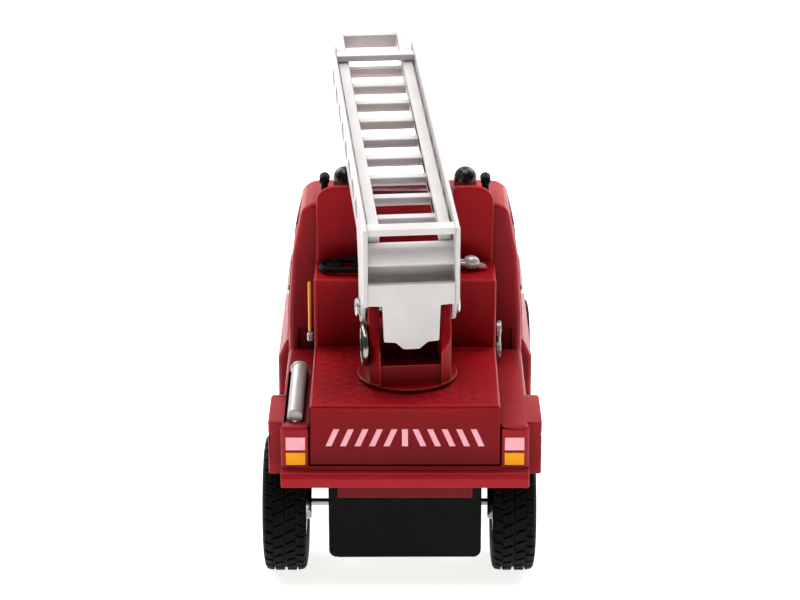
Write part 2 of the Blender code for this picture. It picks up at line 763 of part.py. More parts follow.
def gear_outline(teeth, phase):
    """Straight-flanked teeth with generous backlash; a tooth points along the phase angle."""
    pitch_radius = GEAR_MODULE * teeth / 2
    tip, root = pitch_radius + 0.62, pitch_radius - 1.1
    step = 2 * math.pi / teeth
    points = []
    for tooth in range(teeth):
        middle = phase + tooth * step
        for radius, width in ((root, -0.30), (tip, -0.13), (tip, 0.13), (root, 0.30)):
            angle = middle + width * step
            points.append((radius * math.cos(angle), radius * math.sin(angle)))
    return points


def shaft_direction():
    """The angle of the line from the rear axle to the spring shaft, in the (y, z) plane."""
    run = math.sqrt(GEAR_CENTRES**2 - GEAR_RISE**2)
    return math.atan2(GEAR_RISE, -run), run


def make_motor(rear_spin):
    """The pull-back motor: two case halves, a pinion on the axle, the spring gear and its mainspring."""
    line, run = shaft_direction()
    shaft_y, shaft_z = y_at(REAR_AXLE + run), TYRE_RADIUS + GEAR_RISE
    split = TYRE_RADIUS
    inner = MOTOR_HALF - 1.2
    rear, front = y_at(MOTOR_REAR), y_at(MOTOR_FRONT)
    for name, low, high, floor, roof in (
        ("motor_case_lower", MOTOR_BOTTOM, split - 0.2, MOTOR_BOTTOM + 1.0, split + OVER),
        ("motor_case_upper", split + 0.2, MOTOR_TOP, split - OVER, MOTOR_TOP - 1.0),
    ):
        case = box((-MOTOR_HALF, front, low), (MOTOR_HALF, rear, high))
        cut(case, box((-inner, front + 1.2, floor), (inner, rear - 1.2, roof)))
        cut(case, cylinder(AXLE_RADIUS + 0.45, -20, 20, "X", (y_at(REAR_AXLE), TYRE_RADIUS), 16))
        if name.endswith("upper"):
            cut(case, cylinder(SHAFT_RADIUS + GAP, -20, 20, "X", (shaft_y, shaft_z), 16))
        part(case, name, "grey_plastic")
    low, high = GEAR_X - GEAR_WIDTH / 2, GEAR_X + GEAR_WIDTH / 2
    bore = arc((0, 0), BORE, 0, 330, 11)
    pinion = prism([gear_outline(PINION_TEETH, line), bore], low - FLOAT, high - FLOAT, "X")
    part(pinion, "motor_pinion", "brass", rear_spin)
    spin = axis_empty("spring_gear_spin", (0, shaft_y, shaft_z))
    half_step = math.pi / GEAR_TEETH
    hole = arc((0, 0), SHAFT_RADIUS + GAP, 0, 330, 11)
    gear = prism([gear_outline(GEAR_TEETH, line + math.pi + half_step), hole], low, high, "X")
    part(gear, "spring_gear", "brass", spin)
    part(cylinder(SHAFT_RADIUS, -MOTOR_HALF + 0.1, MOTOR_HALF - 0.1, "X", (0, 0), 16), "spring_shaft", "steel", spin)
    spring = prism([spiral_outline(1.9, 5.9, 3.25, 0.4)], -7.5, 2.5, "X")
    spring.data.transform(Matrix.Translation((0, shaft_y * MM, shaft_z * MM)))
    part(spring, "mainspring", "steel")


def spiral_outline(start, end, turns, thickness):
    """A flat spiral strip."""
    count = int(turns * 20)
    inner, outer = [], []
    for i in range(count + 1):
        angle = 2 * math.pi * turns * i / count
        radius = start + (end - start) * i / count
        inner.append((radius * math.cos(angle), radius * math.sin(angle)))
        outer.append(((radius + thickness) * math.cos(angle), (radius + thickness) * math.sin(angle)))
    return inner + outer[::-1]


# ---------------------------------------------------------------- turret and ladder


def make_turret(spin):
    """Ring, two ears, the wall between them and the boss that goes down through the deck."""
    low = DECK_TOP + GAP
    top = low + TURRET_RING
    ring = cylinder(TURRET_RADIUS, low, top, "Z", (0, 0), 40)
    ear = [(9.4, top - 0.3), (9.4, 51.5), (6.6, 54.2), (5.2, 58.0)]
    ear += arc((0, PIVOT_Z), 5.0, 10, 170, 7)
    ear += [(-5.4, 57.0), (-8.6, 50.0), (-8.6, top - 0.3)]
    for side in (-1, 1):
        a, b = sorted((side * EAR_INNER, side * EAR_OUTER))
        piece = prism([ear], a, b, "X")
        overlap(piece, cylinder(TURRET_RADIUS - 0.1, top - 0.2, 90, "Z", (0, 0), 40))
        join(ring, piece)
    wall = box((-EAR_INNER - 0.5, -7.0, top - 0.3), (EAR_INNER + 0.5, -1.6, 54.5))
    rib = box((-1.3, -2.0, top - 0.3), (1.3, -0.6, 53.0))
    dip = [
        (b, PIVOT_Z - math.sqrt(TONGUE_SWEEP**2 - b**2)) for b in (BLOCK_REAR * i / 6 for i in range(6, -1, -1))
    ]
    block = prism([[(-2.0, top - 0.3), (BLOCK_REAR, top - 0.3), *dip, (-2.0, dip[-1][1])]], -6.9, 6.9, "X")
    boss = cylinder(BOSS_RADIUS, BOSS_BOTTOM, low + 0.3, "Z", (0, 0), 24)
    join(ring, wall, rib, block, boss)
    cut(ring, cylinder(PIN_RADIUS + GAP, -20, 20, "X", (0, PIVOT_Z), 16))
    cut(ring, cylinder(1.35, BOSS_BOTTOM - OVER, 44.3, "Z", (0, 0), 12))
    cut(ring, cylinder(0.95, EAR_INNER - OVER, EAR_OUTER + OVER, "X", (WHEEL_Y, WHEEL_Z), 12))
    return part(ring, "turret", "red_plastic", spin)


def make_turret_fixings(spin):
    """Washer and screw that hold the turret down from below."""
    washer = turned([(1.35, 38.2), (6.0, 38.2), (6.0, 37.3), (1.35, 37.3)], 24, closed=True)
    part(washer, "turret_washer", "steel", spin)
    profile = [(0, 43.6), (1.0, 43.4), (1.0, 36.95), (2.4, 36.95), (2.4, 36.2), (2.0, 35.8), (0, 35.8)]
    part(turned(profile, 16), "turret_screw", "steel", spin)


def make_elevation_wheel(spin):
    """A black disc with a bright rim on the turret's left, on its own short pin."""
    wheel_spin = axis_empty("elevation_wheel_spin", (0, WHEEL_Y, WHEEL_Z), spin)
    near = EAR_OUTER + GAP
    disc = turned([(0, 1.3), (1.4, 1.3), (1.6, 0.9), (3.9, 0.9), (3.9, 0.2), (0, 0.2)], 24)
    disc.matrix_world = Matrix.Rotation(math.pi / 2, 4, "Y")
    place(disc, near, 0, 0)
    pin = cylinder(0.6, EAR_INNER - 0.4, near + 0.6, "X", (0, 0), 12)
    part(join(disc, pin), "elevation_wheel", "black_plastic", wheel_spin)
    rim = turned([(4.25, 1.0), (4.6, 1.0), (4.6, 0.0), (4.25, 0.0)], 24, closed=True)
    rim.matrix_world = Matrix.Rotation(math.pi / 2, 4, "Y")
    place(rim, near, 0, 0)
    part(rim, "elevation_wheel_rim", "chrome", wheel_spin)


def ladder_side():
    """Side view of a base rail in the ladder's frame, with y backwards: rail, end and pivot lug."""
    lean = math.tan(REST_PITCH)
    low = 4.8
    outline = [
        (-RAIL_END, RAIL_TOP),
        (-RAIL_END, RAIL_BOTTOM + 2.5),
        (-RAIL_END + 2.5, RAIL_BOTTOM),
        (-10.0, RAIL_BOTTOM),
        (-5.0, 7.5),
    ]
    outline += arc((0, 0), LUG_RADIUS, 200, 350, 8)
    outline += [
        (3.4, 1.6),
        (4.6, 3.9),
        (6.5, 4.7),
        (-LADDER_REAR + lean * (RAIL_TOP - low), low),
        (-LADDER_REAR, RAIL_TOP),
    ]
    return outline


def lens_outline(y, z, length, height):
    """A lens-shaped hole in a rail."""
    points = []
    for i in range(5):
        t = -1 + i / 2
        points.append((y + t * length / 2, z + height / 2 * (1 - abs(t) ** 1.6)))
    for i in range(1, 4):
        t = 1 - i / 2
        points.append((y + t * length / 2, z - height / 2 * (1 - abs(t) ** 1.6)))
    return points


def rung_u(index):
    return FIRST_RUNG + index * RUNG_PITCH


def make_ladder_base(pitch):
    """The lower ladder: two pierced rails, rungs, cross bars, end plate and tongue."""
    middle = (RAIL_BOTTOM + RAIL_TOP) / 2
    holes = [arc((0, 0), PIN_RADIUS + GAP, 0, 330, 11)]
    for index in range(RUNGS - 1):
        holes.append(lens_outline(-rung_u(index) - RUNG_PITCH / 2, middle, 7.4, 4.4))
    rail = prism([ladder_side(), *holes], RAIL_INNER, RAIL_OUTER, "X")
    other = prism([ladder_side(), *holes], -RAIL_OUTER, -RAIL_INNER, "X")
    reach = RAIL_INNER + 0.3
    bars = [other]
    for index in range(RUNGS):
        u = rung_u(index) + BASE_RUNG_SHIFT
        bars.append(box((-reach, -u - RUNG_DEEP, RAIL_BOTTOM + 0.2), (reach, -u, RAIL_BOTTOM + 0.2 + RUNG_TALL)))
    for u, deep, tall in CROSS_BARS:
        bars.append(box((-reach, -u - deep, RAIL_TOP - tall), (reach, -u, RAIL_TOP - 0.05)))
    drum = [(1.9, 12.6)] + arc((1.9, 12.6), 4.0, 90, 10, 6) + [(4.9, 12.3)]
    bars.append(prism([drum], -reach, reach, "X"))
    bars.append(box((-reach, 1.9, FOOT_WALL_LOW), (reach, 3.1, 12.6)))
    bars.append(end_plate(reach))
    return part(join(rail, *bars), "ladder_base", "white_plastic", pitch)


def end_plate(half):
    """The end plate with its lobed tongue between the ears, upright when the ladder rests."""
    tongue = EAR_INNER - GAP
    right = [(half, END_HIGH), (half, END_LOW + 0.2), (tongue, END_LOW), (tongue - 0.3, TONGUE_SIDE + 0.2)]
    right += [(3.4, TONGUE_SIDE), (1.7, TONGUE_LOBE)]
    outline = right + [(-x, z) for x, z in reversed(right)]
    rear = -LADDER_REAR * math.cos(REST_PITCH) + RAIL_TOP * math.sin(REST_PITCH)
    plate = prism([outline], rear - 1.4, rear - 0.05, "Y")
    plate.data.transform(Matrix.Rotation(REST_PITCH, 4, "X"))
    return plate


def make_ladder_extension(slide):
    """The upper ladder, which slides between the base rails."""
    outline = [
        (-SLIDE_TIP, SLIDE_BOTTOM + 0.6),
        (-SLIDE_TIP, SLIDE_TOP),
        (-SLIDE_REAR, SLIDE_TOP),
        (-SLIDE_REAR, SLIDE_BOTTOM),
        (-SLIDE_TIP + 2.0, SLIDE_BOTTOM),
    ]
    rail = prism([outline], SLIDE_INNER, SLIDE_OUTER, "X")
    bars = [prism([outline], -SLIDE_OUTER, -SLIDE_INNER, "X")]
    reach = SLIDE_INNER + 0.3
    low = SLIDE_BOTTOM + 0.8
    for index in range(RUNGS):
        u = rung_u(index) - 1.0
        bars.append(box((-reach, -u - RUNG_DEEP, low), (reach, -u, low + RUNG_TALL)))
    bars.append(box((-reach, -SLIDE_TIP, SLIDE_BOTTOM + 0.6), (reach, -SLIDE_TIP + 1.2, SLIDE_TOP - 0.05)))
    return part(join(rail, *bars), "ladder_extension", "white_plastic", slide)


def make_pivot_pin(spin):
    half = RAIL_OUTER + GAP
    profile = [(0, half + 0.7), (1.6, half + 0.7), (2.0, half + 0.4), (2.0, half)]
    profile += [(PIN_RADIUS, half), (PIN_RADIUS, -half), (2.0, -half), (2.0, -half - 0.4)]
    profile += [(1.6, -half - 0.7), (0, -half - 0.7)]
    pin = turned(profile, 16)
    pin.matrix_world = Matrix.Rotation(math.pi / 2, 4, "Y")
    place(pin, 0, 0, PIVOT_Z)
    return part(pin, "ladder_pivot_pin", "steel", spin)


# ---------------------------------------------------------------- equipment


def make_suction_hose():
    """A hard suction tube with a collar, lying along the left shoulder."""
    length = TUBE_FRONT - TUBE_REAR
    profile = [
        (0, 0),
        (1.85, 0),
        (1.95, -0.15),
        (1.95, -0.85),
        (TUBE_RADIUS, -1.0),
        (TUBE_RADIUS, -length + 0.2),
        (TUBE_RADIUS - 0.2, -length),
        (0, -length),
    ]
    tube = turned(profile, 20)
    tube.matrix_world = Matrix.Rotation(math.pi / 2, 4, "X")
    place(tube, TUBE_X, y_at(TUBE_FRONT), TUBE_Z)
    return part(tube, "suction_tube", "silver_plastic")


def make_hose_loop():
    """A flat loop of hose on the shelf, left of the notch."""
    curve = bpy.data.curves.new("hose", "CURVE")
    curve.dimensions = "3D"
    curve.bevel_depth = HOSE_RADIUS * MM
    curve.bevel_resolution = 2
    points = arc((LOOP_LEFT, 0), LOOP_RADIUS, -90, 90, 8) + arc((LOOP_RIGHT, 0), LOOP_RADIUS, 90, 270, 8)
    spline = curve.splines.new("POLY")
    spline.points.add(len(points) - 1)
    spline.use_cyclic_u = True
    for point, (x, y) in zip(spline.points, points):
        point.co = (x * MM, (y_at(SHELF_STATION) + y) * MM, (SHELF_TOP + GAP + HOSE_RADIUS) * MM, 1.0)
    obj = bpy.data.objects.new("hose", curve)
    bpy.context.scene.collection.objects.link(obj)
    loop = as_mesh(obj)
    loop.data.shade_smooth()
    return part(loop, "hose_loop", "black_plastic")


def make_hose_fittings():
    """A reel disc inside the loop and a valve block beside it."""
    y = y_at(SHELF_STATION)
    foot = SHELF_TOP + GAP
    disc = turned([(0, 1.3), (1.5, 1.3), (REEL_RADIUS, 0.9), (REEL_RADIUS, 0.0), (0, 0.0)], 20)
    part(place(disc, REEL_X, y, foot), "hose_reel", "black_plastic")
    block = soften(box((VALVE_LOW, y - 1.5, foot), (VALVE_HIGH, y + 1.5, foot + 1.5)), 0.3)
    cone = turned([(0, 2.4), (0.5, 2.2), (1.1, 0.9), (1.1, 0.6), (0, 0.6)], 12)
    place(cone, VALVE_CONE_X, y, foot)
    part(join(block, cone), "hose_valve", "black_plastic")


def make_nozzle():
    """A branch pipe: two thin pipes into a round bulb with a tail lever."""
    y, z = y_at(SHELF_STATION), SHELF_TOP + GAP + 1.55
    bulb = turned([(0, NOZZLE_RADIUS), (0.9, 1.6), (1.5, 0.9), (1.55, -0.9), (1.1, -1.6), (0, -NOZZLE_RADIUS)], 16)
    bulb.matrix_world = Matrix.Rotation(math.pi / 2, 4, "Y")
    place(bulb, NOZZLE_X, y, z)
    start = NOZZLE_X + 0.6
    pipes = [
        cylinder(NOZZLE_PIPE, start, NOZZLE_PIPE_END, "X", (y + offset, z), 10)
        for offset in (-NOZZLE_PIPE_SPREAD, NOZZLE_PIPE_SPREAD)
    ]
    collar = box((NOZZLE_COLLAR[0], y - 1.4, z - 0.6), (NOZZLE_COLLAR[1], y + 1.4, z + 0.6))
    tail = box((NOZZLE_TAIL[0], y - 0.5, z - 0.9), (NOZZLE_TAIL[1], y + 0.5, z + 0.2))
    return part(join(bulb, *pipes, collar, tail), "branch_nozzle", "silver_plastic")


def make_side_fittings():
    """Couplings on the right of the equipment box, a pike pole on its left."""
    x = DECK_HALF + GAP
    y = y_at(OUTLET_STATION)
    pipe = cylinder(0.45, *OUTLET_PIPE, "Z", (-x - OUTLET_THICK / 2, y), 10)
    discs = [cylinder(OUTLET_RADIUS, -x - OUTLET_THICK, -x, "X", (y, z), 16) for z in OUTLET_LEVELS]
    part(join(pipe, *discs), "outlet_couplings", "silver_plastic")
    y = y_at(POLE_STATION)
    pole = cylinder(POLE_RADIUS, *POLE_ENDS, "Z", (x + 0.7, y), 10)
    part(pole, "pike_pole", "yellow_plastic")
    clip = soften(box((x, y - 0.9, CLIP_ENDS[0]), (x + 1.3, y + 0.9, CLIP_ENDS[1])), 0.2)
    part(clip, "pole_clip", "silver_plastic")


def build():
    make_rear_body()
    make_deck_insert()
    make_cab_body()
    make_cab_glazing()
    make_cab_interior()
    make_steering_wheel()
    make_grille()
    make_front_bumper()
    for side, name in ((1, "left"), (-1, "right")):
        make_headlight(side, name)
        make_beacon(side, name)
        make_spot_lamp(side, name)
    make_lamp_bar()
    make_chassis_base()
    for end in SCREW_STATIONS:
        make_base_screw(end)
    rear_spin = make_axle("rear", REAR_AXLE, FLOAT)
    make_axle("front", FRONT_AXLE, -FLOAT)
    make_motor(rear_spin)
    turret_spin = axis_empty("turret_spin", (TURRET_X, y_at(TURRET_STATION), 0), None, (0, 0, REST_YAW))
    make_turret(turret_spin)
    make_turret_fixings(turret_spin)
    make_elevation_wheel(turret_spin)
    make_pivot_pin(turret_spin)
    pitch = axis_empty("ladder_pitch", (0, 0, PIVOT_Z), turret_spin, (-REST_PITCH, 0, 0))
    make_ladder_base(pitch)
    make_ladder_extension(pitch)
    make_suction_hose()
    make_hose_loop()
    make_hose_fittings()
    make_nozzle()
    make_side_fittings()


for old in list(bpy.data.objects):
    bpy.data.objects.remove(old)
PARTS = make_collection(NAME)
CUTTERS = make_collection("cutters")
AXES = {
    "X": Matrix.Rotation(math.pi / 2, 4, "Y"),
    "Y": Matrix.Rotation(-math.pi / 2, 4, "X"),
    "Z": Matrix.Identity(4),
}
FLATS = {
    "X": Matrix(((0, 0, 1, 0), (1, 0, 0, 0), (0, 1, 0, 0), (0, 0, 0, 1))),
    "Y": Matrix(((1, 0, 0, 0), (0, 0, -1, 0), (0, 1, 0, 0), (0, 0, 0, 1))),
    "Z": Matrix.Identity(4),
}
build()
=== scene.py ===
"""Looks of the toy fire engine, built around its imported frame.

The frame is in metres with +Z up, the front at -Y and the vehicle's left at +X. Sizes below are millimetres.
"""

import json
import math

import bmesh
import bpy
from mathutils import Matrix, Vector


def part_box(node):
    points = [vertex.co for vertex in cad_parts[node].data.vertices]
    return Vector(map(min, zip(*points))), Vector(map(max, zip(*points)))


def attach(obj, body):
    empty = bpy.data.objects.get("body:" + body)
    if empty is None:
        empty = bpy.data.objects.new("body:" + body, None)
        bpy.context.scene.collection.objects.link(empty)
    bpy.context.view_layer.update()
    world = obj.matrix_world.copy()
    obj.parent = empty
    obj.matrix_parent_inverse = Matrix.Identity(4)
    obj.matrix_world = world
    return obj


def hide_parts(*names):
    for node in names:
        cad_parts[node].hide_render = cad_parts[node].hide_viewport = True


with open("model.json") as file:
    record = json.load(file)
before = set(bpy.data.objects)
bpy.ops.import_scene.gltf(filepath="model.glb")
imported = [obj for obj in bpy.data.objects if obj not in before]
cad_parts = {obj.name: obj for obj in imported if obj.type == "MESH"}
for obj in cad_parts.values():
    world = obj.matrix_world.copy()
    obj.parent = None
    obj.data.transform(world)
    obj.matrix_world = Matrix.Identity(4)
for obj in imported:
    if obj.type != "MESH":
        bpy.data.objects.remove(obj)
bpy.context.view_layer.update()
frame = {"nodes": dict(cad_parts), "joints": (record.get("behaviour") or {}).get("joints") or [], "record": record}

MM = 0.001
UP = (0, 0, 1)
BODY_OF = {node: body for body, nodes in frame["record"]["behaviour"]["bodies"].items() for node in nodes}
SLOT_OF = {row["node"]: row["material_slot"] for row in frame["record"]["subparts"]}

# Nodes with holes in their flat faces, which are kept as they are cut
PIERCED = (
    "rear_body", "turret", "ladder_base", "deck_insert", "chassis_base",
    "motor_case_lower", "motor_case_upper",
)

# Camera: millimetres, degrees of pitch, lens in millimetres and sideways shift
CAMERA_BACK = 572.4
CAMERA_UP = 260.4
CAMERA_PITCH = 20.7
LENS = 119.25
SHIFT = -0.00625

# Places on the truck: deck height, the equipment box's rear face, the cab's side, the y of a door's two ends
DECK_TOP = 43.85
BOX_FACE = 28.7
CAB_SIDE = 26.3
DOOR_ENDS = (12.8, -9.6)


# ---------------------------------------------------------------- materials


class Nodes:
    """A material's node tree with short calls to fill it."""

    def __init__(self, name):
        self.material = bpy.data.materials.new(name)
        self.material.use_nodes = True
        self.tree = self.material.node_tree
        self.shader = self.tree.nodes["Principled BSDF"]
        self.place = self.tree.nodes.new("ShaderNodeTexCoord").outputs["Object"]

    def link(self, source, target):
        self.tree.links.new(source, target)

    def noise(self, scale, detail=3.0, roughness=0.5):
        made = self.tree.nodes.new("ShaderNodeTexNoise")
        made.inputs["Scale"].default_value = scale
        made.inputs["Detail"].default_value = detail
        made.inputs["Roughness"].default_value = roughness
        self.link(self.place, made.inputs["Vector"])
        return made.outputs["Fac"]

    def ramp(self, source, stops):
        """A colour ramp; each stop is (position, (r, g, b))."""
        made = self.tree.nodes.new("ShaderNodeValToRGB")
        while len(made.color_ramp.elements) < len(stops):
            made.color_ramp.elements.new(0.5)
        for element, (position, colour) in zip(made.color_ramp.elements, stops):
            element.position = position
            element.color = (*colour, 1.0)
        self.link(source, made.inputs["Fac"])
        return made.outputs["Color"]

    def span(self, source, low, high):
        """A value from 0..1 spread over a range."""
        made = self.tree.nodes.new("ShaderNodeMapRange")
        made.inputs["To Min"].default_value = low
        made.inputs["To Max"].default_value = high
        self.link(source, made.inputs["Value"])
        return made.outputs["Result"]

    def mix(self, factor, first, second):
        made = self.tree.nodes.new("ShaderNodeMix")
        made.data_type = "RGBA"
        self.link(factor, made.inputs["Factor"])
        self.link(first, made.inputs[6])
        made.inputs[7].default_value = (*second, 1.0)
        return made.outputs[2]

    def edges(self, width, low, high):
        """1 at edges sharper than low, 0 on flats: the rounded normal against the true one; the mask for a painted
        highlight along edges.
        """
        rounded = self.tree.nodes.new("ShaderNodeBevel")
        rounded.samples = 6
        rounded.inputs["Radius"].default_value = width * MM
        flat = self.tree.nodes.new("ShaderNodeNewGeometry")
        dot = self.tree.nodes.new("ShaderNodeVectorMath")
        dot.operation = "DOT_PRODUCT"
        self.link(rounded.outputs["Normal"], dot.inputs[0])
        self.link(flat.outputs["Normal"], dot.inputs[1])
        made = self.tree.nodes.new("ShaderNodeMapRange")
        made.inputs["From Min"].default_value = low
        made.inputs["From Max"].default_value = high
        made.inputs["To Min"].default_value = 1.0
        made.inputs["To Max"].default_value = 0.0
        self.link(dot.outputs["Value"], made.inputs["Value"])
        return made.outputs["Result"]

    def multiplied(self, colour, factor):
        made = self.tree.nodes.new("ShaderNodeMix")
        made.data_type = "RGBA"
        made.blend_type = "MULTIPLY"
        made.inputs["Factor"].default_value = 1.0
        self.link(colour, made.inputs[6])
        self.link(factor, made.inputs[7])
        return made.outputs[2]

    def recessed(self, colour, distance, darkest):
        """A colour painted darker in corners and recesses, to deepen the shade there."""
        near = self.tree.nodes.new("ShaderNodeAmbientOcclusion")
        near.samples = 6
        near.inputs["Distance"].default_value = distance * MM
        return self.multiplied(colour, self.span(near.outputs["AO"], darkest, 1.0))

    def levelled(self, colour, levels):
        """A colour painted darker or lighter by height, as shading; levels are (mm up, factor)."""
        reach = 100
        split = self.tree.nodes.new("ShaderNodeSeparateXYZ")
        self.link(self.place, split.inputs["Vector"])
        scaled = self.tree.nodes.new("ShaderNodeMapRange")
        scaled.inputs["From Max"].default_value = reach * MM
        self.link(split.outputs["Z"], scaled.inputs["Value"])
        stops = [(up / reach, (factor, factor, factor)) for up, factor in levels]
        return self.multiplied(colour, self.ramp(scaled.outputs["Result"], stops))

    def bump(self, source, strength, distance):
        made = self.tree.nodes.new("ShaderNodeBump")
        made.inputs["Strength"].default_value = strength
        made.inputs["Distance"].default_value = distance * MM
        self.link(source, made.inputs["Height"])
        self.link(made.outputs["Normal"], self.shader.inputs["Normal"])

    def set(self, **values):
        for key, value in values.items():
            self.shader.inputs[key.replace("_", " ")].default_value = value


def solid(
    name, dark, light, rough, grain, bump=0.02, edge=None, highlight_width=0.5, recess=None, levels=None, **values
):
    """Moulded or painted stuff: a colour that drifts, a roughness that varies and a fine skin.

    Edge is the colour of a painted highlight along sharp edges, recess a (distance in mm, darkest factor) of
    painted shade in corners and recesses, levels a list for levelled, painted shade by height.
    """
    n = Nodes(name)
    colour = n.ramp(n.noise(grain, 4.0), [(0.3, dark), (0.7, light)])
    # Sharp edges painted lighter: a painted highlight.
    if edge:
        colour = n.mix(n.edges(highlight_width, 0.80, 0.995), colour, edge)
    # Corners and recesses painted darker: painted shade.
    if recess:
        colour = n.recessed(colour, *recess)
    # Painted darker low down and lighter higher up: painted shade and painted light by height.
    if levels:
        colour = n.levelled(colour, levels)
    n.link(colour, n.shader.inputs["Base Color"])
    n.link(n.span(n.noise(grain * 6, 2.0), *rough), n.shader.inputs["Roughness"])
    n.bump(n.noise(grain * 20, 2.0), 0.25, bump)
    n.set(**values)
    return n.material


# After the roughness range, grain and bump come the colour and width of a painted highlight along sharp edges,
# painted shade in recesses as (distance in mm, darkest factor), and painted shade by height.
MATERIALS = {
    # Sharp edges painted lighter as a painted highlight, recesses painted darker, and everything under 25.7 mm up
    # painted far darker, as painted shade.
    "red_paint": solid(
        "red_paint", (0.32, 0.008, 0.015), (0.41, 0.012, 0.021), (0.30, 0.42), 60, 0.012,
        (0.66, 0.035, 0.04), 0.45, (14.0, 0.12),
        [(25.7, 0.42), (25.9, 1.0), (29.5, 1.0), (29.7, 0.85), (60, 0.9), (72, 1.0)], Specular_IOR_Level=0.10,
    ),
    # Sharp edges painted bright orange, a painted glow of light through the red plastic; recesses painted darker,
    # and painted darker towards the bottom of the tail panel, as painted shade.
    "red_plastic": solid(
        "red_plastic", (0.30, 0.002, 0.006), (0.39, 0.004, 0.009), (0.36, 0.48), 60, 0.012,
        (0.85, 0.07, 0.03), 0.5, (16.0, 0.18),
        [(30, 0.42), (35, 0.55), (42.5, 0.68), (43.7, 0.9), (60, 0.95), (77, 1.0)], Specular_IOR_Level=0.10,
    ),
    # Sharp edges painted lighter as a painted highlight, and recesses painted darker as painted shade.
    "white_plastic": solid(
        "white_plastic", (0.63, 0.595, 0.585), (0.70, 0.675, 0.67), (0.36, 0.48), 120, 0.012,
        (0.79, 0.775, 0.77), 0.3, (5.0, 0.7), Specular_IOR_Level=0.25,
    ),
    # Sharp edges painted lighter, as a painted highlight.
    "black_plastic": solid(
        "black_plastic", (0.002, 0.0019, 0.0019), (0.004, 0.0037, 0.0037), (0.42, 0.58), 200, 0.02,
        (0.010, 0.009, 0.009), 0.3, Specular_IOR_Level=0.06,
    ),
    "grey_plastic": solid("grey_plastic", (0.16, 0.16, 0.165), (0.24, 0.24, 0.25), (0.4, 0.55), 150),
    "yellow_plastic": solid("yellow_plastic", (0.85, 0.36, 0.02), (0.95, 0.5, 0.04), (0.3, 0.42), 150),
    "silver_plastic": solid(
        "silver_plastic", (0.40, 0.355, 0.36), (0.46, 0.41, 0.42), (0.26, 0.34), 60, 0.006, Metallic=0.4,
    ),
    "dark_lens": solid(
        "dark_lens", (0.42, 0.20, 0.22), (0.50, 0.26, 0.28), (0.04, 0.08), 100, 0.004,
        Transmission_Weight=1.0, IOR=1.05,
    ),
    "clear_lens": solid(
        "clear_lens", (0.80, 0.80, 0.78), (0.9, 0.9, 0.88), (0.04, 0.1), 100, 0.004,
        Transmission_Weight=0.55, IOR=1.45,
    ),
    "tinted_glazing": solid(
        "tinted_glazing", (0.035, 0.04, 0.045), (0.05, 0.055, 0.06), (0.03, 0.08), 60, 0.004,
        Transmission_Weight=0.35, IOR=1.45,
    ),
    # Sharp edges painted lighter as a painted highlight, and recesses painted darker as painted shade.
    "chrome_trim": solid(
        "chrome_trim", (0.50, 0.50, 0.52), (0.60, 0.60, 0.62), (0.14, 0.22), 60, 0.0008,
        (0.7, 0.7, 0.72), 0.3, (6.0, 0.3), Metallic=1.0,
    ),
    "steel": solid("steel", (0.42, 0.42, 0.43), (0.58, 0.58, 0.59), (0.25, 0.42), 200, 0.01, Metallic=1.0),
    "gear_brass": solid(
        "gear_brass", (0.6, 0.4, 0.14), (0.78, 0.56, 0.22), (0.22, 0.4), 200, 0.01, Metallic=1.0,
    ),
    # Sharp edges painted lighter, as a painted highlight.
    "tyre_rubber": solid(
        "tyre_rubber", (0.002, 0.002, 0.0022), (0.005, 0.005, 0.0055), (0.5, 0.68), 250, 0.03,
        (0.022, 0.022, 0.022), 0.25, Specular_IOR_Level=0.06,
    ),
    "dark_chrome": solid(
        "dark_chrome", (0.22, 0.21, 0.21), (0.34, 0.32, 0.32), (0.14, 0.22), 60, 0.001, Metallic=1.0,
    ),
    "pink_print": solid(
        "pink_print", (0.92, 0.40, 0.46), (0.98, 0.47, 0.53), (0.35, 0.5), 300, 0.006,
        Specular_IOR_Level=0.1,
    ),
    "amber_print": solid(
        "amber_print", (0.90, 0.34, 0.002), (0.98, 0.41, 0.004), (0.3, 0.45), 300, 0.006,
        Specular_IOR_Level=0.1,
    ),
    # Edges painted dark red, a painted glow of light through the lens.
    "beacon_black": solid(
        "beacon_black", (0.004, 0.003, 0.005), (0.012, 0.004, 0.007), (0.12, 0.2), 200, 0.005,
        (0.10, 0.004, 0.012), 0.8, Specular_IOR_Level=0.4,
    ),
    # A darker red than the paint and the deck, for painted shade on the tread lozenges and the door seams.
    "shade_red": solid(
        "shade_red", (0.17, 0.001, 0.004), (0.22, 0.002, 0.006), (0.4, 0.5), 120, 0.01,
        Specular_IOR_Level=0.1,
    ),
    "bullet_grey": solid("bullet_grey", (0.75, 0.78, 0.80), (0.9, 0.92, 0.93), (0.25, 0.4), 200, 0.01),
}


# ---------------------------------------------------------------- making pieces


def piece(obj, name, material, body, *nodes, slot=None):
    """Names a finished piece, paints it and puts it on its body in place of its CAD nodes."""
    obj.name = name
    obj.data.name = name
    obj.data.materials.clear()
    obj.data.materials.append(MATERIALS[material])
    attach(obj, body)
    if nodes:
        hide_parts(*nodes)
    return obj


def shown(mesh, name):
    obj = bpy.data.objects.new(name, mesh)
    bpy.context.scene.collection.objects.link(obj)
    return obj


def from_shape(shape, name):
    """A mesh object from a bmesh, which is freed."""
    bmesh.ops.recalc_face_normals(shape, faces=shape.faces)
    mesh = bpy.data.meshes.new(name)
    shape.to_mesh(mesh)
    shape.free()
    return shown(mesh, name)


def settled(obj):
    """The mesh that an object's modifiers or curve settings make of it; the object is removed."""
    bpy.context.view_layer.update()
    mesh = bpy.data.meshes.new_from_object(obj.evaluated_get(bpy.context.evaluated_depsgraph_get()))
    bpy.data.objects.remove(obj)
    return mesh


def smooth(mesh, angle=35.0):
    mesh.shade_smooth()
    mesh.set_sharp_from_angle(angle=math.radians(angle))


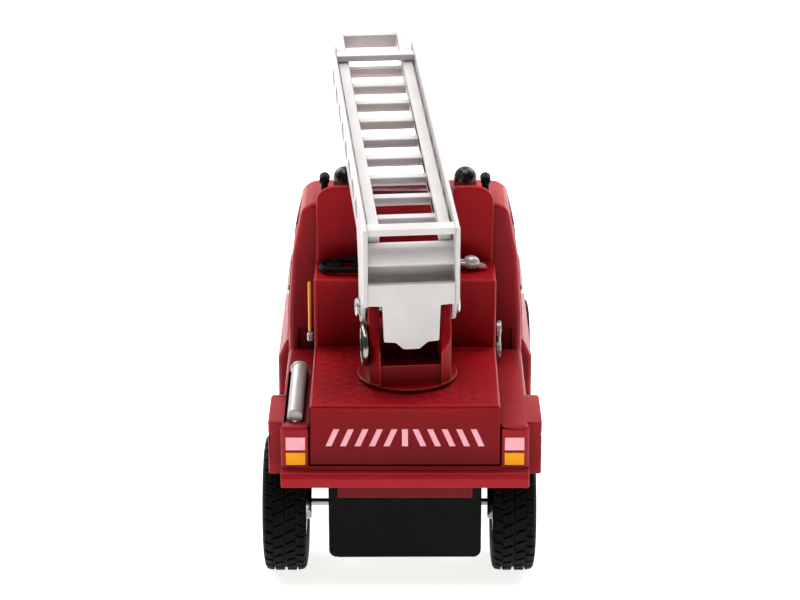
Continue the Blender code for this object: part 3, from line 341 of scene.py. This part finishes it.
def rounded(obj, width, segments=2, angle=28.0, shortest=2.2):
    """Rounds the sharp edges that are long enough to take it."""
    mesh = obj.data
    shape = bmesh.new()
    shape.from_mesh(mesh)
    weights = shape.edges.layers.float.new("bevel_weight_edge")
    for edge in shape.edges:
        sharp = len(edge.link_faces) == 2 and edge.calc_face_angle(0.0) > math.radians(angle)
        if sharp and edge.calc_length() > shortest * width * MM:
            edge[weights] = 1.0
    shape.to_mesh(mesh)
    shape.free()
    bevel = obj.modifiers.new("bevel", "BEVEL")
    bevel.width = width * MM
    bevel.segments = segments
    bevel.limit_method = "WEIGHT"
    bevel.use_clamp_overlap = False
    bevel.miter_outer = "MITER_ARC"
    smooth(mesh, 40.0)
    normals = obj.modifiers.new("normals", "WEIGHTED_NORMAL")
    normals.keep_sharp = True
    return obj


def cleaned(node, weld=0.012):
    """A welded copy of a CAD node, its flat areas in one face each unless they have holes."""
    mesh = frame["nodes"][node].data.copy()
    shape = bmesh.new()
    shape.from_mesh(mesh)
    bmesh.ops.remove_doubles(shape, verts=shape.verts, dist=weld * MM)
    if node not in PIERCED:
        bmesh.ops.dissolve_limit(
            shape, angle_limit=math.radians(0.6), verts=shape.verts, edges=shape.edges,
            use_dissolve_boundaries=False,
        )
    bmesh.ops.recalc_face_normals(shape, faces=shape.faces)
    shape.to_mesh(mesh)
    shape.free()
    return shown(mesh, node)


def refined(node, width, segments=2, weld=0.012):
    """A rounded copy of a CAD node that stands for it."""
    obj = rounded(cleaned(node, weld), width, segments)
    return piece(obj, f"{node}_shell", SLOT_OF[node], BODY_OF[node], node)


def middle(node):
    """The middle of a node's box, in metres."""
    low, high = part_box(node)
    return (Vector(low) + Vector(high)) / 2


def foot(node):
    """The middle of the underside of a node's box, in metres."""
    low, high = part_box(node)
    return Vector(((low[0] + high[0]) / 2, (low[1] + high[1]) / 2, low[2]))


def box_mm(node):
    """The low and high corners of a node's box, in mm."""
    return [Vector(corner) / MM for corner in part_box(node)]


def lathe(profile, axis, centre, sides=64, closed=False):
    """A profile of (radius, height) in mm turned about an axis, a direction, through a centre in metres."""
    shape = bmesh.new()
    rings = []
    for radius, height in profile:
        if radius < 1e-6:
            rings.append([shape.verts.new((0, 0, height * MM))])
            continue
        ring = []
        for i in range(sides):
            angle = 2 * math.pi * i / sides
            x, y = radius * math.cos(angle) * MM, radius * math.sin(angle) * MM
            ring.append(shape.verts.new((x, y, height * MM)))
        rings.append(ring)
    pairs = list(zip(rings, rings[1:]))
    if closed:
        pairs.append((rings[-1], rings[0]))
    for a, b in pairs:
        for i in range(sides):
            j = (i + 1) % sides
            loop = [a[i % len(a)], a[j % len(a)], b[j % len(b)], b[i % len(b)]]
            corners = list(dict.fromkeys(loop))
            if len(corners) > 2:
                shape.faces.new(corners)
    made = from_shape(shape, "lathe")
    turn = Vector(UP).rotation_difference(Vector(axis)).to_matrix().to_4x4()
    made.data.transform(Matrix.Translation(centre) @ turn)
    smooth(made.data)
    return made


def joined(objects):
    """Several mesh objects as one."""
    base = objects[0]
    shape = bmesh.new()
    for obj in objects:
        copy = obj.data.copy()
        copy.transform(obj.matrix_world)
        shape.from_mesh(copy)
        bpy.data.meshes.remove(copy)
    shape.to_mesh(base.data)
    shape.free()
    base.matrix_world = Matrix.Identity(4)
    for obj in objects[1:]:
        bpy.data.objects.remove(obj)
    return base


def slab(outline, low, high, axis):
    """A flat outline in mm, extruded along an axis; X takes (y, z), Y (x, z) and Z (x, y)."""
    shape = bmesh.new()

    def point(u, v, w):
        ordered = {"X": (w, u, v), "Y": (u, w, v), "Z": (u, v, w)}[axis]
        return shape.verts.new(Vector(ordered) * MM)

    first = [point(u, v, low) for u, v in outline]
    second = [point(u, v, high) for u, v in outline]
    shape.faces.new(first)
    shape.faces.new(second[::-1])
    count = len(outline)
    for i in range(count):
        j = (i + 1) % count
        shape.faces.new([first[i], first[j], second[j], second[i]])
    return from_shape(shape, "slab")


def tube(points, radius, cyclic=False):
    """A round tube along points in mm, as a mesh."""
    curve = bpy.data.curves.new("tube", "CURVE")
    curve.dimensions = "3D"
    curve.bevel_depth = radius * MM
    curve.bevel_resolution = 4
    curve.use_fill_caps = True
    spline = curve.splines.new("POLY")
    spline.points.add(len(points) - 1)
    spline.use_cyclic_u = cyclic
    for target, point in zip(spline.points, points):
        target.co = (*(Vector(point) * MM), 1.0)
    flat = bpy.data.objects.new("tube", curve)
    bpy.context.scene.collection.objects.link(flat)
    mesh = settled(flat)
    smooth(mesh, 40.0)
    return shown(mesh, "tube")


def arc(centre, radius, start, end, steps):
    """Points of an arc between two angles in degrees."""
    angles = [math.radians(start + (end - start) * i / steps) for i in range(steps + 1)]
    return [(centre[0] + radius * math.cos(a), centre[1] + radius * math.sin(a)) for a in angles]


# ---------------------------------------------------------------- bodywork


def make_bodywork():
    """Rounded copies of the moulded and cast nodes."""
    for node, width in {
        "rear_body": 0.35,
        "deck_insert": 0.22,
        "cab_body": 0.35,
        "grille": 0.12,
        "front_bumper": 0.4,
        "chassis_base": 0.35,
        "turret": 0.3,
        "ladder_base": 0.2,
        "ladder_extension": 0.2,
        "hose_valve": 0.15,
        "pole_clip": 0.12,
        "roof_lamp_bar": 0.35,
        "cab_interior": 0.4,
        "motor_case_lower": 0.3,
        "motor_case_upper": 0.3,
    }.items():
        refined(node, width)


def tail_face():
    """The y, in mm, of the tailboard panel's rear face."""
    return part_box("deck_insert")[1][1] / MM


def make_prints():
    """The printed lamps on the corner blocks and the row of slanted bars on the panel, as thin raised ink."""
    face = tail_face()
    for side, name in ((1, "left"), (-1, "right")):
        for low, high, colour in ((33.7, 36.6, "pink_print"), (30.3, 33.1, "amber_print")):
            x0, x1 = sorted((side * 21.0, side * 25.1))
            tile = slab([(x0, low), (x1, low), (x1, high), (x0, high)], face - 0.05, face + 0.16, "Y")
            rounded(tile, 0.07, 2)
            piece(tile, f"tail_{colour.split('_')[0]}_{name}", colour, "truck", slot="clear_lens")
    bars = []
    count, pitch, lean, thick = 11, 3.05, 0.85, 1.25
    low, high = 34.6, 38.5
    for index in range(count):
        x = (index - count // 2) * pitch
        tilt = math.copysign(lean, x) if x else 0.0
        left, right = x - thick / 2, x + thick / 2
        outline = [(left + tilt, low), (right + tilt, low), (right - tilt, high), (left - tilt, high)]
        bars.append(slab(outline, face - 0.05, face + 0.1, "Y"))
    marks = rounded(joined(bars), 0.04, 2)
    piece(marks, "tail_marks", "pink_print", "truck", slot="clear_lens")


def make_tread():
    """Raised lozenges in turn-about rows on the deck, as on tread plate, clear of the turret's ring."""
    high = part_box("deck_insert")[1]
    front, rear = BOX_FACE + 0.8, high[1] / MM - 1.0
    half = high[0] / MM - 0.6
    axis = middle("turret") / MM
    ring_radius = 9.5
    step_x, step_y = 2.7, 1.75
    long, wide, tall, sunk = 1.3, 0.42, 0.10, 0.02
    lozenge = [
        (-long, 0, 0), (0, -wide, 0), (long, 0, 0), (0, wide, 0),
        (-long * 0.62, 0, tall), (0, -wide * 0.4, tall), (long * 0.62, 0, tall), (0, wide * 0.4, tall),
    ]
    shape = bmesh.new()
    columns = int(2 * half / step_x)
    for row in range(int((rear - front) / step_y)):
        for column in range(columns):
            x = (column - (columns - 1) / 2) * step_x
            y = rear - 0.8 - row * step_y
            if math.hypot(x - axis.x, y - axis.y) < ring_radius:
                continue
            lean = math.radians(24 if (row + column) % 2 else -24)
            corners = []
            for u, v, z in lozenge:
                a = x + u * math.cos(lean) - v * math.sin(lean)
                b = y + u * math.sin(lean) + v * math.cos(lean)
                corners.append(shape.verts.new(Vector((a, b, DECK_TOP + z - sunk)) * MM))
            base, cap = corners[:4], corners[4:]
            shape.faces.new(cap)
            for i in range(4):
                j = (i + 1) % 4
                shape.faces.new([base[i], base[j], cap[j], cap[i]])
            shape.faces.new(base[::-1])
    # The lozenges are painted a darker red than the deck, as painted shade.
    piece(from_shape(shape, "deck_tread"), "deck_tread", "shade_red", "truck", slot="red_plastic")


# ---------------------------------------------------------------- wheels


def tread_block(shape, corners, base, quads):
    """One tread block: corners are (x, angle, crown radius), quads the corners of each face of its top."""
    rings = ([], [])
    for x, angle, crown in corners:
        for radius, ring in zip((base, crown), rings):
            place = (x * MM, radius * math.cos(angle) * MM, radius * math.sin(angle) * MM)
            ring.append(shape.verts.new(place))
    low, cap = rings
    for quad in quads:
        shape.faces.new([cap[k] for k in quad])
    for quad in quads:
        shape.faces.new([low[k] for k in reversed(quad)])
    count = len(corners)
    for i in range(count):
        j = (i + 1) % count
        shape.faces.new([low[i], low[j], cap[j], cap[i]])


def tyre_mesh():
    """A tyre about the X axis: smooth carcass with plain side walls, and staggered tread blocks."""
    outer, half = 14.85, 4.7
    crown, mid, shoulder = outer - 0.05, 14.6, 13.9
    carcass = [
        (8.65, 3.6), (8.9, 4.1), (9.8, 4.45), (10.4, 4.62), (10.7, 4.5), (11.1, 4.62), (12.3, half),
        (13.3, 4.55), (13.9, 4.1), (14.15, 3.3), (14.2, 0.0),
    ]
    profile = carcass + [(r, -h) for r, h in reversed(carcass[:-1])]
    ring = lathe(profile, (1, 0, 0), Vector(), 96, closed=True)
    shape = bmesh.new()
    count = 34
    step = 2 * math.pi / count
    gap = 0.13 * step
    for index in range(count):
        for side in (-1, 1):
            start = index * step + (step / 2 if side > 0 else 0)
            lean = 0.16 * step * side
            low, high = start + gap, start + step - gap
            inner = [
                (side * 0.35, low + lean, outer), (side * 2.25, low - lean, outer),
                (side * 2.25, high - lean, outer), (side * 0.35, high + lean, outer),
            ]
            tread_block(shape, inner, 14.0, [(0, 1, 2, 3)])
            low, high = low + step * 0.45, high + step * 0.45
            outside = [
                (side * 2.65, low - lean, crown), (side * 3.9, low, mid), (side * 4.45, low, shoulder),
                (side * 4.45, high, shoulder), (side * 3.9, high, mid), (side * 2.65, high - lean, crown),
            ]
            tread_block(shape, outside, 13.3, [(0, 1, 4, 5), (1, 2, 3, 4)])
    blocks = rounded(from_shape(shape, "blocks"), 0.1, 1, 35.0)
    blocks.modifiers.remove(blocks.modifiers["normals"])
    tyre = joined([ring, shown(settled(blocks), "blocks")])
    smooth(tyre.data, 30.0)
    mesh = tyre.data.copy()
    bpy.data.objects.remove(tyre)
    return mesh


def wheel_mesh(side):
    """A dished rim about the X axis with hub cap, nuts and stiffening ribs; side is where its outside is."""
    profile = [
        (0, 3.4), (0.9, 3.35), (1.7, 3.1), (2.3, 2.6), (2.6, 2.0), (2.85, 1.2), (3.1, 0.85), (4.0, 0.75),
        (5.6, 0.6), (6.1, 0.75), (6.5, 1.6), (6.9, 2.9), (7.2, 3.5), (7.6, 4.05), (8.0, 4.2), (8.25, 4.05),
        (8.3, 3.7), (8.3, -3.7), (8.25, -4.1), (7.9, -4.2), (7.35, -4.1), (7.2, -3.8), (6.7, -1.6),
        (6.5, -1.4), (4.1, -1.4), (3.85, -1.6), (3.7, -5.2), (3.5, -5.5), (1.1, -5.5), (1.1, 1.2), (0, 1.2),
    ]
    nut = [(0, 0.9), (0.35, 0.85), (0.62, 0.6), (0.68, 0.0), (0, 0.0)]
    nuts, nut_circle, ribs, rib_circle = 6, 4.6, 8, 5.25
    parts = [lathe(profile, (side, 0, 0), Vector(), 72)]
    for index in range(nuts):
        angle = index * 2 * math.pi / nuts
        spot = Vector((side * 0.7, nut_circle * math.cos(angle), nut_circle * math.sin(angle))) * MM
        parts.append(lathe(nut, (side, 0, 0), spot, 6))
    for index in range(ribs):
        angle = (index + 0.5) * 2 * math.pi / ribs
        spot = Vector((-side * 1.3, rib_circle * math.cos(angle), rib_circle * math.sin(angle))) * MM
        rib = slab([(-1.25, -0.25), (1.25, -0.25), (1.25, 0.25), (-1.25, 0.25)], -0.9, 0.1, "X")
        rib.data.transform(Matrix.Translation(spot) @ Matrix.Rotation(angle, 4, "X"))
        parts.append(rib)
    wheel = joined(parts)
    smooth(wheel.data, 40.0)
    mesh = wheel.data.copy()
    bpy.data.objects.remove(wheel)
    return mesh


def make_wheels():
    """Treaded tyres and dished rims at all four corners."""
    tyre = tyre_mesh()
    rims = {side: wheel_mesh(side) for side in (1, -1)}
    for end in ("rear", "front"):
        for side, name in ((1, "left"), (-1, "right")):
            node = f"{end}_{name}_tyre"
            mesh = tyre.copy()
            mesh.transform(Matrix.Translation(middle(node)))
            piece(shown(mesh, node), f"{node}_treaded", "tyre_rubber", BODY_OF[node], node)
            rim = rims[side].copy()
            rim.transform(Matrix.Translation(middle(node)))
            wheel = f"{end}_{name}_wheel"
            piece(shown(rim, wheel), f"{wheel}_rim", "chrome_trim", BODY_OF[wheel], wheel)


# ---------------------------------------------------------------- lamps and equipment


def make_beacons():
    """Clear dark red lower wall with a pale bullet inside, under a near-black domed top."""
    outer, inner, dome_z, rim_z = 2.6, 2.4, 2.2, 1.9
    quarter = [i * math.pi / 20 for i in range(11)]
    wall = [(2.5, 0.0), (outer, 0.2), (outer, 2.3), (2.3, 2.3), (2.3, 0.2), (2.2, 0.0)]
    cap = [(outer * math.sin(a), dome_z + outer * math.cos(a)) for a in quarter]
    cap += [(outer + 0.02, rim_z), (inner, rim_z)]
    cap += [(inner * math.sin(a), dome_z + inner * math.cos(a)) for a in reversed(quarter)]
    bullet = [(0, 3.6), (0.6, 3.5), (1.1, 3.1), (1.5, 2.3), (1.65, 1.4), (1.7, 0.2), (1.65, 0.0), (0, 0.0)]
    for name in ("left", "right"):
        lens, reflector = f"beacon_lens_{name}", f"beacon_reflector_{name}"
        base = foot(lens)
        made = lathe(wall, UP, base, 48, closed=True)
        piece(made, f"beacon_wall_{name}", "dark_lens", "truck", lens)
        made = lathe(cap, UP, base, 48)
        piece(made, f"beacon_cap_{name}", "beacon_black", "truck", slot="dark_lens")
        made = lathe(bullet, UP, base, 32)
        piece(made, f"beacon_bullet_{name}", "bullet_grey", "truck", reflector, slot="silver_plastic")


def make_spot_lamps():
    """Black lamps facing back, each on a stalk."""
    for name in ("left", "right"):
        low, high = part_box(f"spot_lamp_{name}")
        centre = Vector(((low[0] + high[0]) / 2, high[1], high[2] - 1.15 * MM))
        shell = [
            (0, -0.05), (0.5, -0.12), (0.85, -0.35), (1.05, -0.65), (1.15, -1.1), (1.15, -3.4), (1.0, -4.1),
            (0.65, -4.6), (0, -4.8),
        ]
        head = lathe(shell, (0, 1, 0), centre, 32)
        stalk_top = centre - Vector((0, 2.4, 0.6)) * MM
        length = (stalk_top.z - low[2]) / MM
        post = [(0, 0), (0.8, 0), (0.8, -length + 0.6), (0.95, -length + 0.2), (0.95, -length), (0, -length)]
        stalk = lathe(post, UP, stalk_top, 20)
        band = [(1.2, -3.5), (1.2, -3.3), (1.14, -3.2), (1.14, -3.6)]
        ring = lathe(band, (0, 1, 0), centre, 32, closed=True)
        made = joined([head, stalk, ring])
        piece(made, f"spot_lamp_{name}_body", "black_plastic", "truck", f"spot_lamp_{name}")


def make_headlights():
    """Clear lenses in bright bezels."""
    lens = [(0, 2.1), (0.8, 2.02), (1.5, 1.75), (2.1, 1.25), (2.35, 0.8), (2.35, 0.1), (0, 0.1)]
    bezel = [(2.35, 0.7), (2.5, 0.95), (2.75, 0.95), (2.9, 0.7), (2.9, 0.0), (2.35, 0.0)]
    for name in ("left", "right"):
        low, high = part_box(f"headlight_{name}")
        centre = Vector(((low[0] + high[0]) / 2, high[1], (low[2] + high[2]) / 2))
        made = lathe(lens, (0, -1, 0), centre, 40)
        piece(made, f"headlight_lens_{name}", "clear_lens", "truck", f"headlight_{name}")
        made = lathe(bezel, (0, -1, 0), centre, 40, closed=True)
        piece(made, f"headlight_bezel_{name}", "chrome_trim", "truck")


def make_suction_tube():
    """A round silver tube with a raised collar at its front end and a rim round its rear cap."""
    low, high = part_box("suction_tube")
    centre = Vector(((low[0] + high[0]) / 2, low[1], (low[2] + high[2]) / 2))
    length = (high[1] - low[1]) / MM
    profile = [
        (0, 0), (1.7, 0), (1.88, 0.08), (1.95, 0.22), (1.95, 0.78), (1.88, 0.92), (1.72, 1.0), (1.65, 1.1),
        (1.65, length - 0.3), (1.6, length - 0.1), (1.45, length), (1.1, length), (0.95, length - 0.2),
        (0, length - 0.2),
    ]
    made = lathe(profile, (0, 1, 0), centre, 48)
    piece(made, "suction_tube_body", "silver_plastic", "truck", "suction_tube")


def make_hose():
    """The flat hose loop and its reel."""
    thick = 0.8
    low, high = box_mm("hose_loop")
    y, z = (low.y + high.y) / 2, (low.z + high.z) / 2
    radius = (high.y - low.y) / 2 - thick
    left, right = high.x - thick - radius, low.x + thick + radius
    route = arc((left, y), radius, -90, 90, 18) + arc((right, y), radius, 90, 270, 18)
    loop = tube([(*point, z) for point in route], 0.62, cyclic=True)
    piece(loop, "hose_loop_smooth", "black_plastic", "truck", "hose_loop")
    disc = [
        (0, 1.3), (0.5, 1.3), (0.6, 1.1), (0.9, 1.1), (1.0, 1.3), (1.5, 1.3), (1.75, 1.2), (1.9, 0.95),
        (1.9, 0.0), (0, 0),
    ]
    made = lathe(disc, UP, foot("hose_reel"), 40)
    piece(made, "hose_reel_disc", "black_plastic", "truck", "hose_reel")


def make_nozzle():
    """The branch nozzle: a bulb with a flat tail, twin pipes and a collar."""
    low, high = box_mm("branch_nozzle")
    y, z = (low.y + high.y) / 2, (low.z + high.z) / 2
    bulb_x = low.x + 3.4
    bulb_radius, bulb_half, turns = 1.55, 1.9, 16
    angles = [i * math.pi / turns for i in range(turns + 1)]
    bulb = [(bulb_radius * math.sin(a), bulb_half * math.cos(a)) for a in angles]
    bulb[0], bulb[-1] = (0, bulb_half), (0, -bulb_half)
    parts = [lathe(bulb, (1, 0, 0), Vector((bulb_x, y, z)) * MM, 36)]
    for offset in (-0.85, 0.85):
        parts.append(tube([(bulb_x + 0.8, y + offset, z), (high.x - 0.02, y + offset, z)], 0.44))
    collar = [(1.0, -0.5), (1.5, -0.5), (1.55, -0.3), (1.55, 0.3), (1.5, 0.5), (1.0, 0.5)]
    parts.append(lathe(collar, (1, 0, 0), Vector((bulb_x + 5.9, y, z)) * MM, 32, closed=True))
    tail = [(bulb_x - 1.0, z + 0.2), (low.x + 0.2, z - 0.7), (low.x, z - 1.2), (bulb_x - 0.8, z - 0.9)]
    parts.append(slab(tail, y - 0.5, y + 0.5, "Y"))
    piece(joined(parts), "branch_nozzle_body", "silver_plastic", "truck", "branch_nozzle")


def make_elevation_wheel():
    """The turret's small black disc with its bright rim and its stub."""
    from_turret_axis = 9.15
    axis = next(j for j in frame["joints"] if j["name"] == "elevation_wheel_spin")
    along = Vector(axis["axis"])
    start = Vector(axis["pos_m"]) + along * from_turret_axis * MM
    disc = [
        (0, 1.3), (1.1, 1.3), (1.4, 1.2), (1.55, 0.95), (1.9, 0.85), (3.6, 0.85), (3.9, 0.75), (3.9, 0.25),
        (0, 0.25),
    ]
    stub = [(0, 0.5), (0.55, 0.5), (0.55, -3.1), (0, -3.1)]
    made = joined([lathe(disc, along, start, 48), lathe(stub, along, start, 20)])
    piece(made, "elevation_disc", "black_plastic", "elevation_handwheel", "elevation_wheel")
    rim = [(4.0, 0.1), (4.15, 0.0), (4.5, 0.0), (4.6, 0.15), (4.6, 0.85), (4.5, 1.0), (4.15, 1.0), (4.0, 0.9)]
    made = lathe(rim, along, start, 64, closed=True)
    piece(
        made, "elevation_rim", "dark_chrome", "elevation_handwheel", "elevation_wheel_rim", slot="chrome_trim",
    )


def make_side_fittings():
    """The pair of outlet couplings on their pipe, and the pike pole."""
    low, high = box_mm("outlet_couplings")
    y = (low.y + high.y) / 2
    x = high.x - 0.5
    disc = [
        (0, 1.0), (0.7, 1.0), (0.8, 0.85), (1.1, 0.85), (1.2, 0.95), (1.45, 0.9), (1.6, 0.7), (1.6, 0), (0, 0),
    ]
    parts = [tube([(x, y, low.z + 0.05), (x, y, high.z - 0.05)], 0.42)]
    for z in (42.4, 46.8):
        parts.append(lathe(disc, (-1, 0, 0), Vector((high.x, y, z)) * MM, 32))
    piece(joined(parts), "outlet_pair", "silver_plastic", "truck", "outlet_couplings")
    low, high = box_mm("pike_pole")
    x, y = (low.x + high.x) / 2, (low.y + high.y) / 2
    pole = [(0, high.z), (0.2, high.z), (0.34, high.z - 0.3), (0.34, low.z + 0.3), (0.25, low.z), (0, low.z)]
    made = lathe(pole, UP, Vector((x, y, 0)) * MM, 24)
    piece(made, "pike_pole_rod", "yellow_plastic", "truck", "pike_pole")


def make_door_details():
    """Door seams and a moulded handle on each side of the cab."""
    low, belt, sill, handle_z = 40.6, 46.0, 58.5, 50.0
    seam_radius, handle_radius = 0.17, 0.42
    for side, name in ((1, "left"), (-1, "right")):
        skin, lean_in = side * CAB_SIDE, side * (CAB_SIDE - 0.9)
        parts = [tube([(skin, y, low), (skin, y, belt), (lean_in, y, sill)], seam_radius) for y in DOOR_ENDS]
        parts.append(tube([(skin, y, low) for y in DOOR_ENDS], seam_radius))
        # The seams are painted a darker red than the cab, as painted shade of seam grooves.
        piece(joined(parts), f"door_seam_{name}", "shade_red", "truck", slot="red_paint")
        x = side * (CAB_SIDE - 0.35)
        bow = x + side * 0.6
        route = [(x, 10.6, handle_z), (bow, 10.1, handle_z), (bow, 7.1, handle_z), (x, 6.6, handle_z)]
        piece(tube(route, handle_radius), f"door_handle_{name}", "chrome_trim", "truck")


# ---------------------------------------------------------------- stage


def make_stage():
    """Pale floor, white surround that dims towards the rear, soft lamps, camera."""
    shape = bmesh.new()
    bmesh.ops.create_grid(shape, x_segments=1, y_segments=1, size=4.0)
    mesh = bpy.data.meshes.new("floor")
    shape.to_mesh(mesh)
    shape.free()
    floor = shown(mesh, "floor")
    n = Nodes("floor_white")
    tint = n.ramp(n.noise(3, 2.0), [(0.3, (0.86, 0.855, 0.85)), (0.7, (0.9, 0.9, 0.9))])
    n.link(tint, n.shader.inputs["Base Color"])
    n.set(Roughness=0.8, Emission_Color=(1.0, 0.99, 0.965, 1.0), Emission_Strength=0.85)
    floor.data.materials.append(n.material)

    world = bpy.data.worlds.new("surround")
    bpy.context.scene.world = world
    world.use_nodes = True
    tree = world.node_tree
    background = tree.nodes["Background"]
    place = tree.nodes.new("ShaderNodeTexCoord")
    split = tree.nodes.new("ShaderNodeSeparateXYZ")
    tree.links.new(place.outputs["Generated"], split.inputs["Vector"])
    reach = tree.nodes.new("ShaderNodeMapRange")
    reach.inputs["From Min"].default_value = -0.35
    reach.inputs["From Max"].default_value = 0.25
    reach.inputs["To Min"].default_value = 1.05
    reach.inputs["To Max"].default_value = 0.10
    tree.links.new(split.outputs["Y"], reach.inputs["Value"])
    tree.links.new(reach.outputs["Result"], background.inputs["Strength"])
    background.inputs["Color"].default_value = (1.0, 1.0, 1.0, 1.0)

    for name, place, target, size, power in (
        ("back_left", (0.45, -0.45, 0.55), (0, 0, 0.04), 0.5, 3.0),
        ("back_right", (-0.45, -0.45, 0.55), (0, 0, 0.04), 0.5, 3.0),
        ("top", (0.0, 0.05, 0.8), (0, 0, 0.0), 0.6, 4.0),
    ):
        light = bpy.data.lights.new(name, "AREA")
        light.shape = "SQUARE"
        light.size = size
        light.energy = power
        lamp = bpy.data.objects.new(name, light)
        bpy.context.scene.collection.objects.link(lamp)
        lamp.location = place
        lamp.rotation_euler = (Vector(target) - Vector(place)).to_track_quat("-Z", "Y").to_euler()

    lens = bpy.data.cameras.new("camera")
    lens.lens = LENS
    lens.sensor_width = 36.0
    lens.shift_x = SHIFT
    camera = bpy.data.objects.new("camera", lens)
    bpy.context.scene.collection.objects.link(camera)
    camera.location = (0.0, CAMERA_BACK * MM, CAMERA_UP * MM)
    camera.rotation_euler = (math.radians(90 - CAMERA_PITCH), 0.0, math.pi)
    bpy.context.scene.camera = camera
    bpy.context.scene.view_settings.view_transform = "Standard"


for node, obj in frame["nodes"].items():
    obj.data.materials.clear()
    obj.data.materials.append(MATERIALS[SLOT_OF[node]])
make_bodywork()
make_prints()
make_tread()
make_wheels()
make_beacons()
make_spot_lamps()
make_headlights()
make_suction_tube()
make_hose()
make_nozzle()
make_elevation_wheel()
make_side_fittings()
make_door_details()
make_stage()
